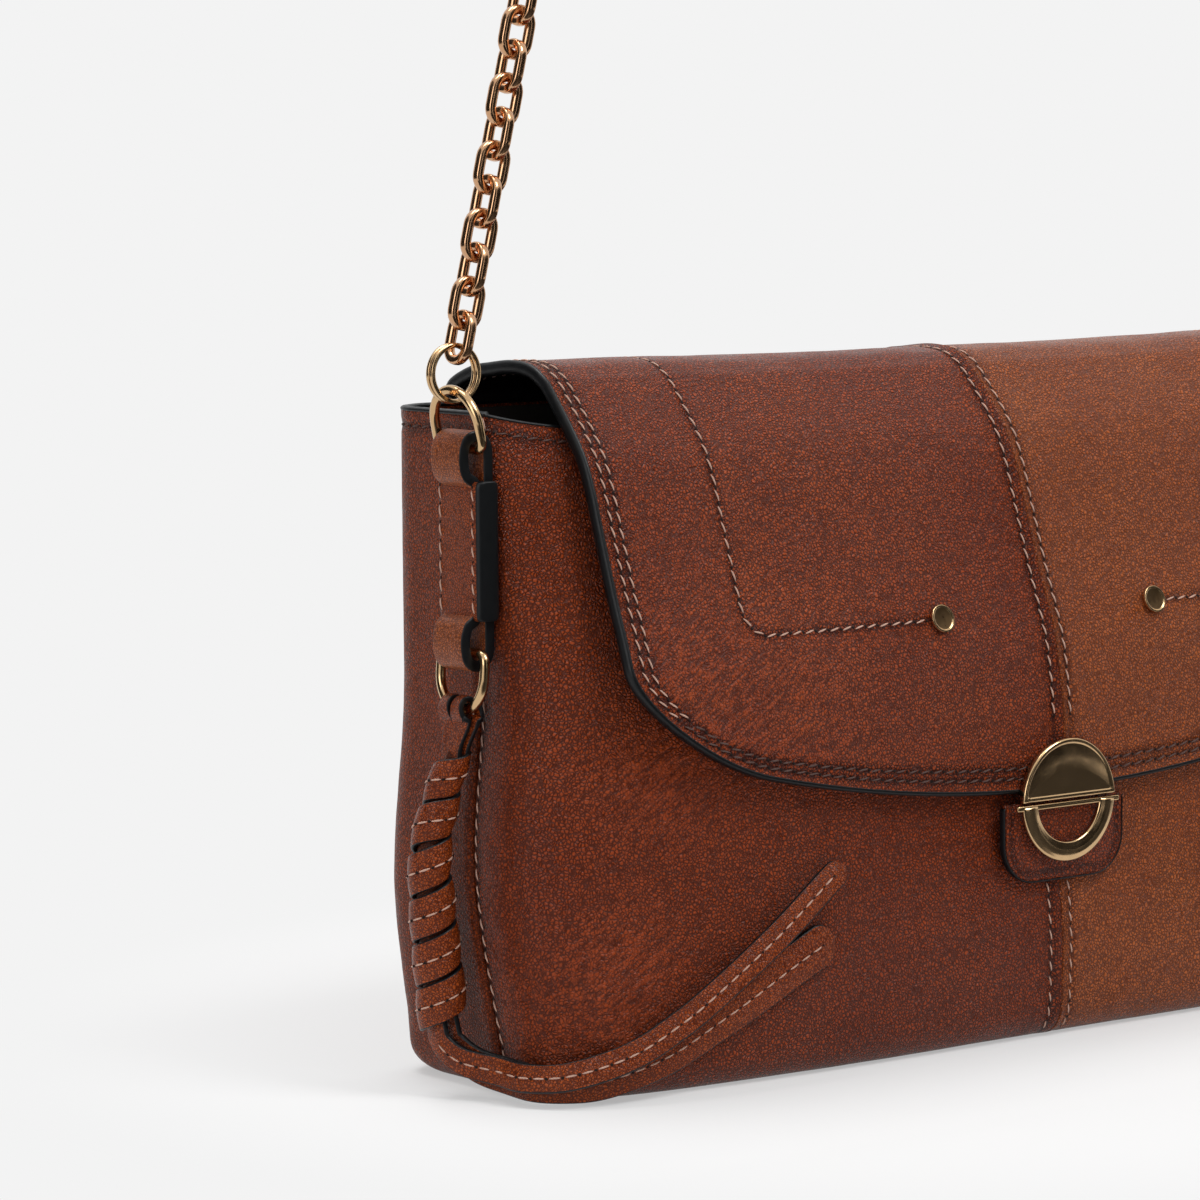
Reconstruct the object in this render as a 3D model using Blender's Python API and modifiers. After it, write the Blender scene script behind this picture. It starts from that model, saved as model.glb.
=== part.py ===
"""A leather shoulder bag: a soft body with two side seams, a curved front flap with a
half-disc lock, a chain strap on rings at both sides, and a wrapped lace tassel below each
side tab.

Frame: +X is the bag's own width, -Y its front, +Z up. The origin lies on the underside of
the base, midway between the side tabs, in the plane of the strap. Lengths are in metres.
"""

import math

import bmesh
import bpy
from mathutils import Matrix, Vector

# Body of the bag
HALF_WIDTH = 0.1525
BODY_HEIGHT = 0.1615
BACK_DEPTH = 0.0400
FRONT_DEPTH = 0.0365
BACK_CORNER_RADIUS = 0.012
BOTTOM_RADIUS = 0.008
SIDE_BULGE = 0.0035
SIDE_BULGE_HEIGHT = 0.61 * BODY_HEIGHT
FRONT_RIM_DIP = 0.006
FRONT_RIM_POWER = 6
FRONT_ROUNDNESS = 4
LEATHER = 0.0020
SEAM_GAP = 0.0006
AIR = 0.0003
# The front's depth at shares of the height: upright at the top, fullest below the middle
FRONT_SHARES = (
    (0.0, 0.985),
    (0.149, 1.0),
    (0.25, 0.965),
    (0.327, 0.925),
    (0.393, 0.905),
    (0.467, 0.902),
    (0.555, 0.865),
    (0.622, 0.81),
    (0.734, 0.63),
    (0.839, 0.475),
    (0.897, 0.385),
    (0.963, 0.225),
    (1.0, 0.1),
)
# The side seam's place between the strap plane and the fullest front, from base to rim
SEAM_SHARES = ((0.0, 0.20), (0.12, 0.10), (0.4, -0.04), (0.7, -0.03), (1.0, -0.02))

# Base, lining and the slip pocket on the back wall
BASE_THICKNESS = 0.0022
LINING = 0.0007
LINING_DROP = 0.0010
POCKET_WIDTH = 0.110
POCKET_HEIGHT = 0.070
POCKET_THICKNESS = 0.0010
POCKET_BOTTOM = 0.055

# Flap
FLAP_SIDE_MARGIN = 0.0190
FLAP_HALF_WIDTH = HALF_WIDTH - FLAP_SIDE_MARGIN
FLAP_LEATHER = 0.0016
FLAP_LINING = 0.0011
FLAP_CLEARANCE = 0.0010
FLAP_RISE = 0.0112
FLAP_LOWEST_DROP = 0.0980
FLAP_CORNER_RADIUS = 0.040
FLAP_EDGE_RISE = 0.012
FLAP_EDGE_SPAN = 0.100
FLAP_CROWN_DIP = 0.0012
FLAP_DIP_RUN_IN = 0.0196
FLAP_SHOULDER_DROP = 0.0080
FLAP_LOWEST = BODY_HEIGHT - FLAP_LOWEST_DROP
FLAP_SHOULDER_HEIGHT = BODY_HEIGHT - FLAP_SHOULDER_DROP
FLAP_LINING_MARGIN = 0.0006
FLAP_ROOT_UPRIGHT = 0.0022
# The arch from the back rim to the shoulder: (share of the way forward, share of the rise)
ARCH_SHARES = (
    (0.0, 0.0),
    (0.05, 0.42),
    (0.20, 0.78),
    (0.34, 0.91),
    (0.50, 1.0),
    (0.64, 0.92),
    (0.73, 0.66),
    (0.80, 0.30),
)

# Lock: a half disc on the flap above a C plate on the body
LOCK_RADIUS = 0.0155
LOCK_DROP = 0.0030
LOCK_SPLIT_HEIGHT = FLAP_LOWEST - LOCK_DROP
LOCK_SPLIT_GAP = 0.0006
LOCK_PLATE = 0.0024
LOCK_BAND = 0.0050
LOCK_BEVEL = 0.0006
LOCK_BAR_OVERHANG = 0.0018
LOCK_BAR_DROP = 0.0009
PATCH_THICKNESS = 0.0020
PATCH_MARGIN = 0.0045
PATCH_HEIGHT = 0.0200
PATCH_CORNER = 0.0100
MAGNET_RADIUS = 0.0042
MAGNET_THICKNESS = 0.0010
MAGNET_OFFSET = 0.0062

# Rivets at the inner ends of the flap's decorative lines
RIVET_RADIUS = 0.0035
RIVET_CAP = 0.0011
RIVET_SHANK_RADIUS = 0.0011
RIVET_RISE = 0.0440
RIVET_HEIGHT = FLAP_LOWEST + RIVET_RISE
RIVET_SPREAD = 0.036

# Side tab with a ring loop at each end
TAB_WIDTH = 0.0165
TAB_LOOP_WIDTH = 0.0118
TAB_LENGTH = 0.0569
TAB_DROP = 0.0031
TAB_TOP = BODY_HEIGHT - TAB_DROP
TAB_BOTTOM = TAB_TOP - TAB_LENGTH
TAB_LOOP_HEIGHT = 0.0135
TAB_INNER_LAYER = 0.0032
TAB_OUTER_LAYER = 0.0028
TAB_EYE_WIDTH = 0.0040
TAB_FLAT_THICKNESS = 0.0065
RING_SLACK = 0.0006

# D rings in the tab loops
RING_WIRE_RADIUS = 0.0012
RING_HALF_WIDTH = 0.0086
RING_REACH = 0.0142
RING_CORNER_RADIUS = 0.0026
UPPER_RING_LEAN = math.radians(12)
LOWER_RING_LEAN = math.radians(4)

# Split rings that join the chain to the upper D rings
SPLIT_WIRE_RADIUS = 0.00060
SPLIT_RADIUS = 0.0066
SPLIT_PITCH = 0.0017
SPLIT_TURNS = 1.9
SPLIT_PLAY = 0.0009
SPLIT_HOOK_PLAY = 0.0016

# Chain
LINK_WIRE_RADIUS = 0.0012
LINK_LENGTH = 0.0132
LINK_WIDTH = 0.0091
LINK_COUNT = 77
LOOSE_LINKS = 12
LINK_OVERLAP = 0.0009
ARCH_SHIFT = 0.0011
CHAIN_LEAN = math.radians(13.7)

# Tassel: a doubled lace wrapped by a strap, and its two flat tails
UPPER_TAIL_WIDTH = 0.0066
LOWER_TAIL_WIDTH = 0.0095
LACE_THICKNESS = 0.0015
LOOP_WIDTH = 0.0050
LOOP_SPREAD = 0.0009
WRAP_THICKNESS = 0.0013
WRAP_TURNS = 5
WRAP_GAP = 0.0014
WRAP_TOP_RADIUS = 0.0035
WRAP_BOTTOM_RADIUS = 0.0058
STEM_CLEARANCE = 0.0009
TIP_SHARE = 0.25
STEM_FOOT = 0.0165
# The stem's line: how far outside the bag's side, y, and the share of the way to the ring
STEM_PATH = (
    (0.0067, 0.0015, 0.882),
    (0.0097, 0.0036, 0.729),
    (0.0127, 0.0042, 0.557),
    (0.0121, 0.0042, 0.358),
    (0.0109, 0.0040, 0.186),
    (0.0097, 0.0036, 0.0),
)
# The tails' routes, from the bag's side too: round the lower corner, then up its front
UPPER_TAIL_PATH = (
    (0.0113, 0.0030, 0.0156),
    (0.0108, 0.0018, 0.0126),
    (0.0087, -0.0030, 0.0092),
    (0.0040, -0.0108, 0.0074),
    (0.0028, -0.0191, 0.0068),
    (-0.0024, -0.0268, 0.0074),
    (-0.0109, -0.0316, 0.0096),
    (-0.0195, -0.0343, 0.0126),
    (-0.0282, -0.0361, 0.0172),
    (-0.0379, -0.0374, 0.0230),
    (-0.0580, -0.0382, 0.0361),
    (-0.0746, -0.0376, 0.0478),
    (-0.0796, -0.0373, 0.0510),
)
LOWER_TAIL_PATH = (
    (0.0084, 0.0036, 0.0156),
    (0.0078, 0.0022, 0.0122),
    (0.0053, -0.0035, 0.0080),
    (0.0016, -0.0108, 0.0059),
    (0.0003, -0.0190, 0.0053),
    (-0.0041, -0.0251, 0.0053),
    (-0.0109, -0.0290, 0.0057),
    (-0.0201, -0.0319, 0.0078),
    (-0.0299, -0.0338, 0.0111),
    (-0.0394, -0.0352, 0.0159),
    (-0.0503, -0.0362, 0.0213),
    (-0.0639, -0.0368, 0.0282),
    (-0.0768, -0.0368, 0.0340),
)

# Mesh fineness, as counts
FRONT_COLUMN_SHARES = (0, 0.14, 0.30, 0.45, 0.59, 0.70, 0.79, 0.86, 0.91, 0.945, 0.97, 0.988, 1)
BACK_COLUMN_SHARES = (0, 0.01, 0.05, 0.10, 0.15, 0.18, 0.21, 0.24, 0.27, 0.36, 0.50, 0.66, 0.83, 1)
BODY_ROWS = 8
ROUND_ROWS = 4

FLAP_COLUMNS = 6
FLAP_ROW_SHARES = (0.04, 0.08, 0.13, 0.19, 0.26, 0.33, 0.40, 0.47, 0.56, 0.68, 0.84)
FLAP_CORNER_ROWS = 6
WRAP_STEPS = 12
CUT_OVERRUN = 0.002

SIDES = (("left", -1), ("right", 1))


def clear_scene():
    for data in list(bpy.data.objects):
        bpy.data.objects.remove(data)


def collection(name):
    made = bpy.data.collections.new(name)
    bpy.context.scene.collection.children.link(made)
    return made


def material(name, hex_colour, roughness, metallic=0.0):
    made = bpy.data.materials.new(name)
    made.use_nodes = True
    shader = made.node_tree.nodes["Principled BSDF"]
    channels = [int(hex_colour[i : i + 2], 16) / 255 for i in (1, 3, 5)]
    linear = [(c / 12.92 if c <= 0.04045 else ((c + 0.055) / 1.055) ** 2.4) for c in channels]
    shader.inputs["Base Color"].default_value = (*linear, 1)
    shader.inputs["Roughness"].default_value = roughness
    shader.inputs["Metallic"].default_value = metallic
    return made


def add_object(name, data, look, origin=(0, 0, 0)):
    """Puts the data in the bag's collection, with its origin moved to a given point."""
    made = bpy.data.objects.new(name, data)
    data.materials.clear()
    data.materials.append(look)
    if any(origin):
        data.transform(Matrix.Translation(-Vector(origin)))
        made.location = origin
    BAG.objects.link(made)
    return made


def finish_mesh(name, form, look, origin=(0, 0, 0), angle=math.radians(40)):
    mesh = bpy.data.meshes.new(name)
    form.to_mesh(mesh)
    form.free()
    mesh.shade_smooth()
    mesh.set_sharp_from_angle(angle=angle)
    return add_object(name, mesh, look, origin)


def smooth_value(shares, t):
    """A smooth curve through the pairs of a table, read at t."""
    last = len(shares) - 2
    at = next((i for i in range(last + 1) if t <= shares[i + 1][0]), last)
    (t0, v0), (t1, v1) = shares[at], shares[at + 1]
    before = shares[at - 1] if at > 0 else shares[at]
    after = shares[at + 2] if at < last else shares[at + 1]
    slope0 = (v1 - before[1]) / (t1 - before[0])
    slope1 = (after[1] - v0) / (after[0] - t0)
    w = (t - t0) / (t1 - t0)
    step = t1 - t0
    rise = v0 * (2 * w**3 - 3 * w**2 + 1) + v1 * (3 * w**2 - 2 * w**3)
    return rise + step * (slope0 * (w**3 - 2 * w**2 + w) + slope1 * (w**3 - w**2))


def spline(points, steps):
    """A smooth run through the points, with steps pieces between each two."""
    points = [Vector(p) for p in points]
    run = []
    for i in range(len(points) - 1):
        p0 = points[max(i - 1, 0)]
        p1, p2 = points[i], points[i + 1]
        p3 = points[min(i + 2, len(points) - 1)]
        for k in range(steps):
            t = k / steps
            run.append(
                0.5
                * (
                    2 * p1
                    + (p2 - p0) * t
                    + (2 * p0 - 5 * p1 + 4 * p2 - p3) * t**2
                    + (3 * p1 - p0 - 3 * p2 + p3) * t**3
                )
            )
    return run + [points[-1]]


def lengths(run):
    total = [0.0]
    for a, b in zip(run, run[1:]):
        total.append(total[-1] + (b - a).length)
    return total


def point_at(run, total, distance):
    at = next((i for i in range(1, len(total) - 1) if total[i] >= distance), len(total) - 1)
    share = (distance - total[at - 1]) / (total[at] - total[at - 1])
    return run[at - 1].lerp(run[at], share)


def resample(run, count):
    total = lengths(run)
    return [point_at(run, total, total[-1] * i / count) for i in range(count + 1)]


# Body: every panel lies on one closed outline per height


def front_y(z):
    return -FRONT_DEPTH * smooth_value(FRONT_SHARES, z / BODY_HEIGHT)


def seam_y(z):
    return -FRONT_DEPTH * smooth_value(SEAM_SHARES, z / BODY_HEIGHT)


def side_x(z):
    rise = min(z / SIDE_BULGE_HEIGHT, 1)
    return HALF_WIDTH + SIDE_BULGE * math.sin(math.pi * rise) ** 2


def front_run(z, steps=48):
    """The right half of the front at one height, from the middle to the side seam."""
    run = []
    for i in range(steps + 1):
        angle = math.pi / 2 * i / steps
        across = math.sin(angle) ** (2 / FRONT_ROUNDNESS)
        out = math.cos(angle) ** (2 / FRONT_ROUNDNESS) if i < steps else 0
        run.append(Vector((side_x(z) * across, seam_y(z) + (front_y(z) - seam_y(z)) * out)))
    return run


def back_run(z, steps=8):
    """The right half of the back at one height, from the side seam to the middle."""
    x = side_x(z)
    run = [Vector((x, seam_y(z)))]
    for i in range(steps + 1):
        angle = math.pi / 2 * i / steps
        corner = Vector((x - BACK_CORNER_RADIUS, BACK_DEPTH - BACK_CORNER_RADIUS))
        run.append(corner + BACK_CORNER_RADIUS * Vector((math.cos(angle), math.sin(angle))))
    return run + [Vector((0, BACK_DEPTH))]


def trimmed(run, start_gap, end_gap, shares):
    total = lengths(run)
    span = total[-1] - start_gap - end_gap
    return [point_at(run, total, start_gap + span * share) for share in shares]


def body_levels(depth=0.0):
    """Height and inset of each row, some way under the face: round the lower edge, then up."""
    radius = BOTTOM_RADIUS - depth
    levels = []
    for i in range(ROUND_ROWS):
        angle = math.pi / 2 * (1 - i / ROUND_ROWS)
        inset = BOTTOM_RADIUS - radius * math.cos(angle)
        levels.append((BOTTOM_RADIUS - radius * math.sin(angle), inset))
    wall = BODY_HEIGHT - BOTTOM_RADIUS
    rows = [BOTTOM_RADIUS + wall * i / BODY_ROWS for i in range(BODY_ROWS + 1)]
    return levels + [(z, depth) for z in rows]


def drawn_in(point, z, inset):
    """The point moved inward, on an outline that shrinks about its own middle."""
    middle = (BACK_DEPTH + front_y(z)) / 2
    half_depth = (BACK_DEPTH - front_y(z)) / 2
    x = point.x * (1 - inset / side_x(z))
    return Vector((x, middle + (point.y - middle) * (1 - inset / half_depth), z))


def rim_height(x, on_front):
    if not on_front:
        return BODY_HEIGHT
    return BODY_HEIGHT - FRONT_RIM_DIP * (1 - abs(x / HALF_WIDTH) ** FRONT_RIM_POWER)


def bent_grid(columns, rows, place):
    """A flat grid whose points are moved to place(column, row)."""
    form = bmesh.new()
    bmesh.ops.create_grid(form, x_segments=columns, y_segments=rows, size=1)
    for vertex in form.verts:
        column = round((vertex.co.x + 1) / 2 * columns)
        row = round((vertex.co.y + 1) / 2 * rows)
        vertex.co = place(column, row)
    return form


def solidify(made, thickness, depth=0.0):
    """Gives an open surface its thickness, inward from a depth under it."""
    modifier = made.modifiers.new("thickness", "SOLIDIFY")
    modifier.thickness = thickness
    modifier.offset = -1 - 2 * depth / thickness
    modifier.use_even_offset = True
    return made


def body_panel(name, plan, on_front, look):
    """A leather panel over the rows of the body. plan(z) gives its outline at a height."""
    levels = body_levels()
    columns = len(plan(0)) - 1
    outlines = [plan(z) for z, inset in levels]

    def place(column, row):
        z, inset = levels[row]
        spot = outlines[row][column]
        top = rim_height(spot.x, on_front)
        point = drawn_in(spot, z, inset)
        if z > BOTTOM_RADIUS:
            climb = (z - BOTTOM_RADIUS) / (BODY_HEIGHT - BOTTOM_RADIUS)
            lower_z = BOTTOM_RADIUS + climb * (top - BOTTOM_RADIUS)
            point = drawn_in(plan(lower_z)[column], lower_z, inset)
        return point

    form = bent_grid(columns, len(levels) - 1, place)
    return solidify(finish_mesh(name, form, look), LEATHER)


def mirrored(run):
    return [Vector((-p.x, p.y)) for p in reversed(run)]


def make_body():
    def front_right(z):
        return trimmed(front_run(z), SEAM_GAP / 2, SEAM_GAP / 2, FRONT_COLUMN_SHARES)

    def front_left(z):
        return mirrored(front_right(z))

    def back(z):
        half = trimmed(back_run(z), SEAM_GAP / 2, 0, BACK_COLUMN_SHARES)
        return half + mirrored(half)[1:]

    body_panel("front_panel_left", front_left, True, LEATHER_BROWN)
    body_panel("front_panel_right", front_right, True, LEATHER_TAN)
    body_panel("back_panel", back, False, LEATHER_DARK)


def flat_outline(name, outlines, half_thickness, look, stand=None):
    """A 2D curve filled and extruded both ways from its plane."""
    curve = bpy.data.curves.new(name, "CURVE")
    curve.dimensions = "2D"
    curve.fill_mode = "BOTH"
    curve.extrude = half_thickness
    for points in outlines:
        line = curve.splines.new("POLY")
        line.points.add(len(points) - 1)
        for spot, target in zip(points, line.points):
            target.co = (spot[0], spot[1], 0, 1)
        line.use_cyclic_u = True
    made = add_object(name, curve, look)
    if stand is not None:
        made.matrix_world = stand
    return made


def whole_outline(z):
    right = trimmed(front_run(z), 0, 0, FRONT_COLUMN_SHARES)
    right += trimmed(back_run(z), 0, 0, BACK_COLUMN_SHARES)[1:]
    return right + mirrored(right)[1:-1]


def make_base():
    outline = [drawn_in(p, 0, BOTTOM_RADIUS + SEAM_GAP) for p in whole_outline(0)]
    stand = Matrix.Translation((0, 0, BASE_THICKNESS / 2))
    flat_outline("base_panel", [outline], BASE_THICKNESS / 2, LEATHER_DARK, stand)


def make_lining():
    """A thin cup inside the leather, open at the top."""
    depth = max(LEATHER, BASE_THICKNESS) + AIR
    form = bmesh.new()
    rings = []
    for z, inset in body_levels(depth):
        ring = []
        for i, spot in enumerate(whole_outline(z)):
            height = z
            if z > BOTTOM_RADIUS:
                top = rim_height(spot.x, spot.y < seam_y(z)) - LINING_DROP
                climb = (z - BOTTOM_RADIUS) / (BODY_HEIGHT - BOTTOM_RADIUS)
                height = BOTTOM_RADIUS + climb * (top - BOTTOM_RADIUS)
                spot = whole_outline(height)[i]
            ring.append(form.verts.new(drawn_in(spot, height, inset)))
        rings.append(ring)
    form.faces.new(list(reversed(rings[0])))
    count = len(rings[0])
    for low, high in zip(rings, rings[1:]):
        for i in range(count):
            j = (i + 1) % count
            form.faces.new((low[i], low[j], high[j], high[i]))
    solidify(finish_mesh("lining", form, FABRIC), LINING)


def box(name, low, high, look):
    form = bmesh.new()
    bmesh.ops.create_cube(form, size=1)
    size = Vector(high) - Vector(low)
    middle = (Vector(high) + Vector(low)) / 2
    bmesh.ops.scale(form, vec=size, verts=form.verts)
    bmesh.ops.translate(form, vec=middle, verts=form.verts)
    return finish_mesh(name, form, look)


def make_pocket():
    wall = BACK_DEPTH - LEATHER - AIR - LINING - 2 * AIR
    low = (-POCKET_WIDTH / 2, wall - POCKET_THICKNESS, POCKET_BOTTOM)
    high = (POCKET_WIDTH / 2, wall, POCKET_BOTTOM + POCKET_HEIGHT)
    box("inner_slip_pocket", low, high, FABRIC)


# Flap: one profile from the back rim over the mouth and down the front


def flap_profile():
    """Outer line of the flap in (y, z), from its root at the back rim to its lowest edge."""
    stand_off = FLAP_LEATHER + AIR + FLAP_LINING + FLAP_CLEARANCE
    front = []
    steps = 10
    for i in range(steps + 1):
        z = FLAP_SHOULDER_HEIGHT + (FLAP_LOWEST - FLAP_SHOULDER_HEIGHT) * i / steps
        slope = (front_y(z + AIR) - front_y(z - AIR)) / (2 * AIR)
        front.append((front_y(z) - stand_off * math.sqrt(1 + slope**2), z))
    root = (BACK_DEPTH, BODY_HEIGHT + AIR)
    shoulder_y = front[0][0]
    foot = root[1] + FLAP_ROOT_UPRIGHT
    arch = [root, (root[0], (root[1] + foot) / 2)]
    for forward, rise in ARCH_SHARES:
        y = root[0] + (shoulder_y - root[0]) * forward
        arch.append((y, foot + (FLAP_RISE - FLAP_ROOT_UPRIGHT) * rise))
    return spline([Vector(p) for p in arch + front], 6)


def flap_point(x, distance, depth):
    """A point of the flap: x across, distance along from the root, depth under its face."""
    total = FLAP_LENGTHS
    here = point_at(FLAP_RUN, total, distance)
    step = total[-1] / (4 * len(total))
    before = point_at(FLAP_RUN, total, max(distance - step, 0))
    after = point_at(FLAP_RUN, total, min(distance + step, total[-1]))
    along = (after - before).normalized()
    inward = Vector((-along.y, along.x))
    spot = here + inward * depth
    rise = max(spot.y - FLAP_SHOULDER_HEIGHT, 0) / (BODY_HEIGHT + FLAP_RISE - FLAP_SHOULDER_HEIGHT)
    dip = FLAP_CROWN_DIP * (1 - (x / FLAP_HALF_WIDTH) ** 2) * rise**2
    root_share = min(distance / FLAP_DIP_RUN_IN, 1)
    return Vector((x, spot.x, spot.y - dip * root_share))


def flap_rows(margin=0.0):
    """Pairs of distance and half width, down to the rounded lower corners."""
    length = FLAP_LENGTHS[-1]
    straight = length - FLAP_CORNER_RADIUS
    distances = [0, FLAP_ROOT_UPRIGHT] + [straight * share for share in FLAP_ROW_SHARES]
    rows = [(distance, FLAP_HALF_WIDTH - margin) for distance in distances]
    radius = FLAP_CORNER_RADIUS - margin
    for i in range(FLAP_CORNER_ROWS + 1):
        angle = math.pi / 2 * i / FLAP_CORNER_ROWS
        half_width = FLAP_HALF_WIDTH - FLAP_CORNER_RADIUS + radius * math.cos(angle)
        rows.append((straight + radius * math.sin(angle), half_width))
    return rows


def lower_edge_rise(x, distance):
    """The lower edge climbs toward the sides, and the rows above follow it less and less."""
    straight = FLAP_LENGTHS[-1] - FLAP_CORNER_RADIUS
    share = max(distance - straight, 0) / FLAP_CORNER_RADIUS
    return FLAP_EDGE_RISE * (min(abs(x), FLAP_HALF_WIDTH) / FLAP_EDGE_SPAN) ** 2 * share


def flap_piece(name, x_of, columns, thickness, look, depth=0.0, margin=0.0):
    rows = flap_rows(margin)

    def place(column, row):
        distance, half_width = rows[row]
        x = x_of(column / columns, half_width)
        return flap_point(x, distance - lower_edge_rise(x, distance), 0)

    form = bent_grid(columns, len(rows) - 1, place)
    bmesh.ops.reverse_faces(form, faces=form.faces)
    made = finish_mesh(name, form, look)
    return solidify(made, thickness, depth)


def make_flap():
    def left(share, half_width):
        return -SEAM_GAP / 2 - (half_width - SEAM_GAP / 2) * (1 - share)

    def right(share, half_width):
        return SEAM_GAP / 2 + (half_width - SEAM_GAP / 2) * share

    def whole(share, half_width):
        return half_width * (2 * share - 1)

    flap_piece("flap_left", left, FLAP_COLUMNS, FLAP_LEATHER, LEATHER_BROWN)
    flap_piece("flap_right", right, FLAP_COLUMNS, FLAP_LEATHER, LEATHER_TAN)
    under = FLAP_LEATHER + AIR
    columns = 2 * FLAP_COLUMNS
    flap_piece("flap_lining", whole, columns, FLAP_LINING, FABRIC, under, FLAP_LINING_MARGIN)


def flap_frame(x, height):
    """Place and outward direction of the flap's face at a height on the front."""
    total = FLAP_LENGTHS
    low, high = 0.0, total[-1]
    for _ in range(40):
        middle = (low + high) / 2
        if point_at(FLAP_RUN, total, middle).y > height or middle < total[-1] / 3:
            low = middle
        else:
            high = middle
    spot = flap_point(x, low, 0)
    inner = flap_point(x, low, FLAP_LEATHER)
    return spot, (spot - inner).normalized()


def turned(name, profile, look, stand, steps=20):
    """A profile of (radius, height) pairs turned about Z, then stood in place."""
    form = bmesh.new()
    corners = [form.verts.new((radius, 0, height)) for radius, height in profile]
    for a, b in zip(corners, corners[1:]):
        form.edges.new((a, b))
    made = finish_mesh(name, form, look)
    screw = made.modifiers.new("turn", "SCREW")
    screw.axis = "Z"
    screw.steps = steps
    screw.render_steps = steps
    screw.use_merge_vertices = True
    screw.merge_threshold = AIR / 10
    screw.use_smooth_shade = True
    made.matrix_world = stand
    return made


def stood(spot, direction):
    return Matrix.Translation(spot) @ direction.to_track_quat("Z", "Y").to_matrix().to_4x4()


def cylinder_cutter(name, radius, length, stand, steps=20):
    form = bmesh.new()
    bmesh.ops.create_cone(
        form, cap_ends=True, segments=steps, radius1=radius, radius2=radius, depth=length
    )
    mesh = bpy.data.meshes.new(name)
    form.to_mesh(mesh)
    form.free()
    made = bpy.data.objects.new(name, mesh)
    made.matrix_world = stand
    as_cutter(made)
    return made


def as_cutter(made):
    for group in list(made.users_collection):
        group.objects.unlink(made)
    CUTTERS.objects.link(made)
    made.hide_render = True
    made.display_type = "WIRE"


def boolean(target, other, operation):
    modifier = target.modifiers.new(other.name, "BOOLEAN")
    modifier.operation = operation
    modifier.object = other
    modifier.solver = "EXACT"


def make_rivets():
    for side, sign in SIDES:
        spot, out = flap_frame(sign * RIVET_SPREAD, RIVET_HEIGHT)
        cap, radius, shank = RIVET_CAP, RIVET_RADIUS, RIVET_SHANK_RADIUS
        profile = (
            (0, AIR + cap),
            (0.75 * radius, AIR + 0.9 * cap),
            (radius, AIR + 0.45 * cap),
            (radius, AIR),
            (shank, AIR),
            (shank, -FLAP_LEATHER),
            (0, -FLAP_LEATHER),
        )
        stand = stood(spot, out)
        turned("rivet_" + side, profile, GOLD, stand, 16)
        hole = cylinder_cutter(
            "rivet_hole_" + side, shank + AIR, 2 * (FLAP_LEATHER + CUT_OVERRUN), stand, 16
        )
        boolean(bpy.data.objects["flap_" + side], hole, "DIFFERENCE")


# Lock


def half_disc(radius, start, end, steps):
    """Points of an arc in the (x, z) plane, angles in radians from +X."""
    points = []
    for i in range(steps + 1):
        angle = start + (end - start) * i / steps
        points.append((radius * math.cos(angle), radius * math.sin(angle)))
    return points


def facing_front(y_middle, z):
    """Stands a flat outline upright, facing the front: its x stays and its y becomes z."""
    return Matrix.Translation((0, y_middle, z)) @ Matrix.Rotation(math.pi / 2, 4, "X")


def mesh_from(made):
    """Turns a curve object into a welded mesh object with the same name and place."""
    bpy.context.view_layer.update()
    graph = bpy.context.evaluated_depsgraph_get()
    mesh = bpy.data.meshes.new_from_object(made.evaluated_get(graph))
    form = bmesh.new()
    form.from_mesh(mesh)
    bmesh.ops.remove_doubles(form, verts=form.verts, dist=AIR / 100)
    bmesh.ops.recalc_face_normals(form, faces=form.faces)
    form.to_mesh(mesh)
    form.free()
    name, stand = made.name, made.matrix_world.copy()
    look = made.data.materials[0]
    bpy.data.objects.remove(made)
    solid = bpy.data.objects.new(name, mesh)
    mesh.name = name
    mesh.materials.clear()
    mesh.materials.append(look)
    solid.matrix_world = stand
    BAG.objects.link(solid)
    return solid


def bevel(made, width, segments=2):
    modifier = made.modifiers.new("edge", "BEVEL")
    modifier.width = width
    modifier.segments = segments
    modifier.limit_method = "ANGLE"


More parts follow.
